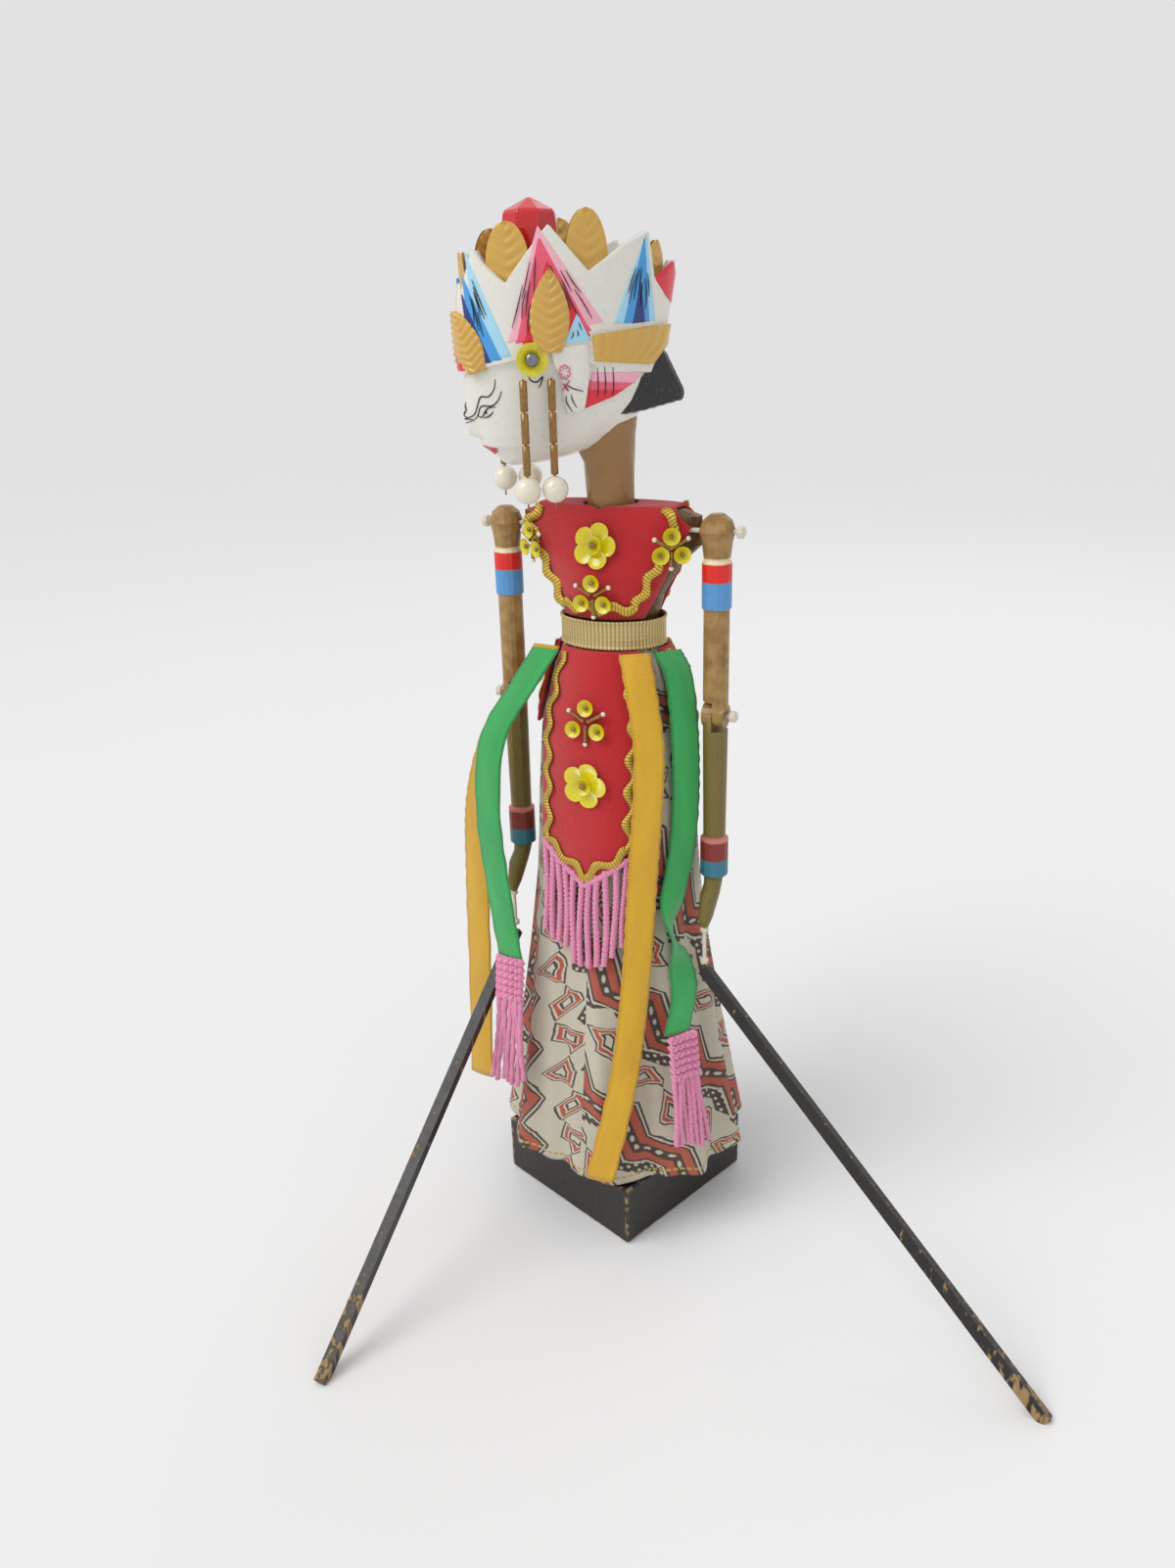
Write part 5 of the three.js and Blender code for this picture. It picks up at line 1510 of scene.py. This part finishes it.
def make_earrings():
    """Cup sequin and nail on each ear, and two beaded strands that swing under them."""
    for side, letter, word in ((1, "l", "left"), (-1, "r", "right")):
        centre = np.array([side * EAR_X, EAR_Y, EAR_Z])
        out = to_row(np.array([side * 1.0, 0, 0]))
        at = to_row(centre)
        sequin = Shape()
        cup(sequin, 4.9, at, out, 0)
        sequin.build(
            f"ear_cup_{letter}", ["lemon"], "head", [f"ear_sequin_{letter}"], "sequin",
            smooth=False,
        )
        nail = Shape()
        nail.turned(
            [(0.7, -2.5), (0.7, 1.0), (1.9, 1.15), (2.1, 1.5), (1.8, 2.1), (0.9, 2.5)], 0, 20,
            at, out,
        )
        nail.build(f"ear_pin_{letter}", ["nail"], "head", [f"ear_nail_{letter}"], "nail_steel")
        for name, offset in (("front", -3.0), ("rear", 5.5)):
            strand = Shape()
            top = EAR_Z - 5.2
            foot = top - 36.0
            pearl = foot + 4.0
            x = side * (EAR_X + 1.4)
            line = [to_row(np.array([x, EAR_Y + offset, z])) for z in np.linspace(foot - 1.6, top, 30)]
            strand.tube(line, 0.32, 2, sides=6, twist=3.0, ridge=0.2)
            bead(strand, 4.05, to_row(np.array([x, EAR_Y + offset, pearl])), 0, squeeze=1.0)
            length = (top - pearl - 4.4) / 3
            for n in range(3):
                low = pearl + 4.2 + n * length
                at_bead = to_row(np.array([x, EAR_Y + offset, low]))
                strand.turned(
                    [
                        (0.8, 0.1), (1.22, 0.35), (1.25, length / 2), (1.22, length - 0.45),
                        (0.8, length - 0.2),
                    ],
                    1, 8, at_bead,
                )
            strand.build(
                f"strand_{letter}_{name}", ["pearl", "bugle", "copper"], f"earring_{word}",
                [f"earring_{letter}_{name}"], "pearl_beads",
            )


# Finishes of the carried-over solids


def finish_solids():
    """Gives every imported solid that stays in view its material."""
    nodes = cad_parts
    exact = {
        "base_block": "base_block", "central_rod": "central_rod", "torso": "torso",
        "crown_knob": "red_gloss",
    }
    starts = {
        "upper_arm": "arm", "forearm": "arm", "stick": "stick", "shoulder_string": "string",
        "elbow_string": "string", "hand_tie": "string", "ear_nail": "nail", "ear_sequin": "lemon",
        "earring": "pearl",
    }
    for name, node in nodes.items():
        finish = exact.get(name)
        if finish is None:
            finish = next((f for start, f in starts.items() if name.startswith(start)), None)
        if finish is None:
            finish = "torso"
        node.data.materials.clear()
        node.data.materials.append(FINISHES[finish])


WORLD_LIGHT = 0.6
FAR_FLOOR = 0.76


def make_stage():
    """A pale seamless floor, soft lamps and a white world."""
    bpy.ops.mesh.primitive_plane_add(size=60, location=(0, 0, 0))
    floor = bpy.context.object
    floor.name = "studio_floor"
    paint = Paint("studio_floor", {"Roughness": 0.9, "Specular IOR Level": 0.1})
    shade = paint.noise(paint.place("Object"), 3.0, 2)
    paint.colour(paint.mix(shade, (0.86, 0.86, 0.86, 1), (0.88, 0.88, 0.88, 1)))
    floor.data.materials.append(paint.material)
    world = bpy.data.worlds.new("studio")
    scene.world = world
    world.use_nodes = True
    tree = world.node_tree
    background = tree.nodes["Background"]
    background.inputs["Color"].default_value = (1, 1, 1, 1)
    background.inputs["Strength"].default_value = WORLD_LIGHT
    # Where the world is seen, it has the brightness of the far floor, so no line shows between them.
    backdrop = tree.nodes.new("ShaderNodeBackground")
    backdrop.inputs["Color"].default_value = (1, 1, 1, 1)
    backdrop.inputs["Strength"].default_value = FAR_FLOOR
    rays = tree.nodes.new("ShaderNodeLightPath")
    seen = tree.nodes.new("ShaderNodeMath")
    seen.operation = "MAXIMUM"
    tree.links.new(rays.outputs["Is Camera Ray"], seen.inputs[0])
    mirrored = tree.nodes.new("ShaderNodeMath")
    mirrored.operation = "MAXIMUM"
    tree.links.new(rays.outputs["Is Glossy Ray"], mirrored.inputs[0])
    tree.links.new(rays.outputs["Is Transmission Ray"], mirrored.inputs[1])
    tree.links.new(mirrored.outputs[0], seen.inputs[1])
    choice = tree.nodes.new("ShaderNodeMixShader")
    tree.links.new(seen.outputs[0], choice.inputs[0])
    tree.links.new(background.outputs[0], choice.inputs[1])
    tree.links.new(backdrop.outputs[0], choice.inputs[2])
    tree.links.new(choice.outputs[0], tree.nodes["World Output"].inputs["Surface"])
    for name, kind, place, size, power in (
        ("daylight", "SUN", (-0.7, -0.9, 1.5), 0.7, 1.1),
        ("key", "AREA", (-0.7, -0.9, 1.3), 0.8, 3.2),
        ("fill", "AREA", (0.9, -0.7, 0.9), 1.0, 0.8),
        ("back", "AREA", (0.1, 1.0, 1.1), 0.8, 1.5),
    ):
        data = bpy.data.lights.new(name, kind)
        if kind == "SUN":
            data.angle = size
        else:
            data.size = size
        data.energy = power
        lamp = bpy.data.objects.new(name, data)
        scene.collection.objects.link(lamp)
        lamp.location = place
        aim = Vector((0, 0, 0.17)) - Vector(place)
        lamp.rotation_euler = aim.to_track_quat("-Z", "Y").to_euler()
    scene.view_settings.view_transform = "Standard"


finish_solids()
make_belt()
make_bib()
make_bib_braid("bib_edging_front", "bib_braid_front", -1)
make_bib_braid("bib_edging_back", "bib_braid_back", 1)
make_skirt()
make_panels()
make_fringe()
make_ribbons()
make_tassels()
make_sequins()
make_head()
make_knob()
make_earrings()
make_stage()

bpy.context.view_layer.update()
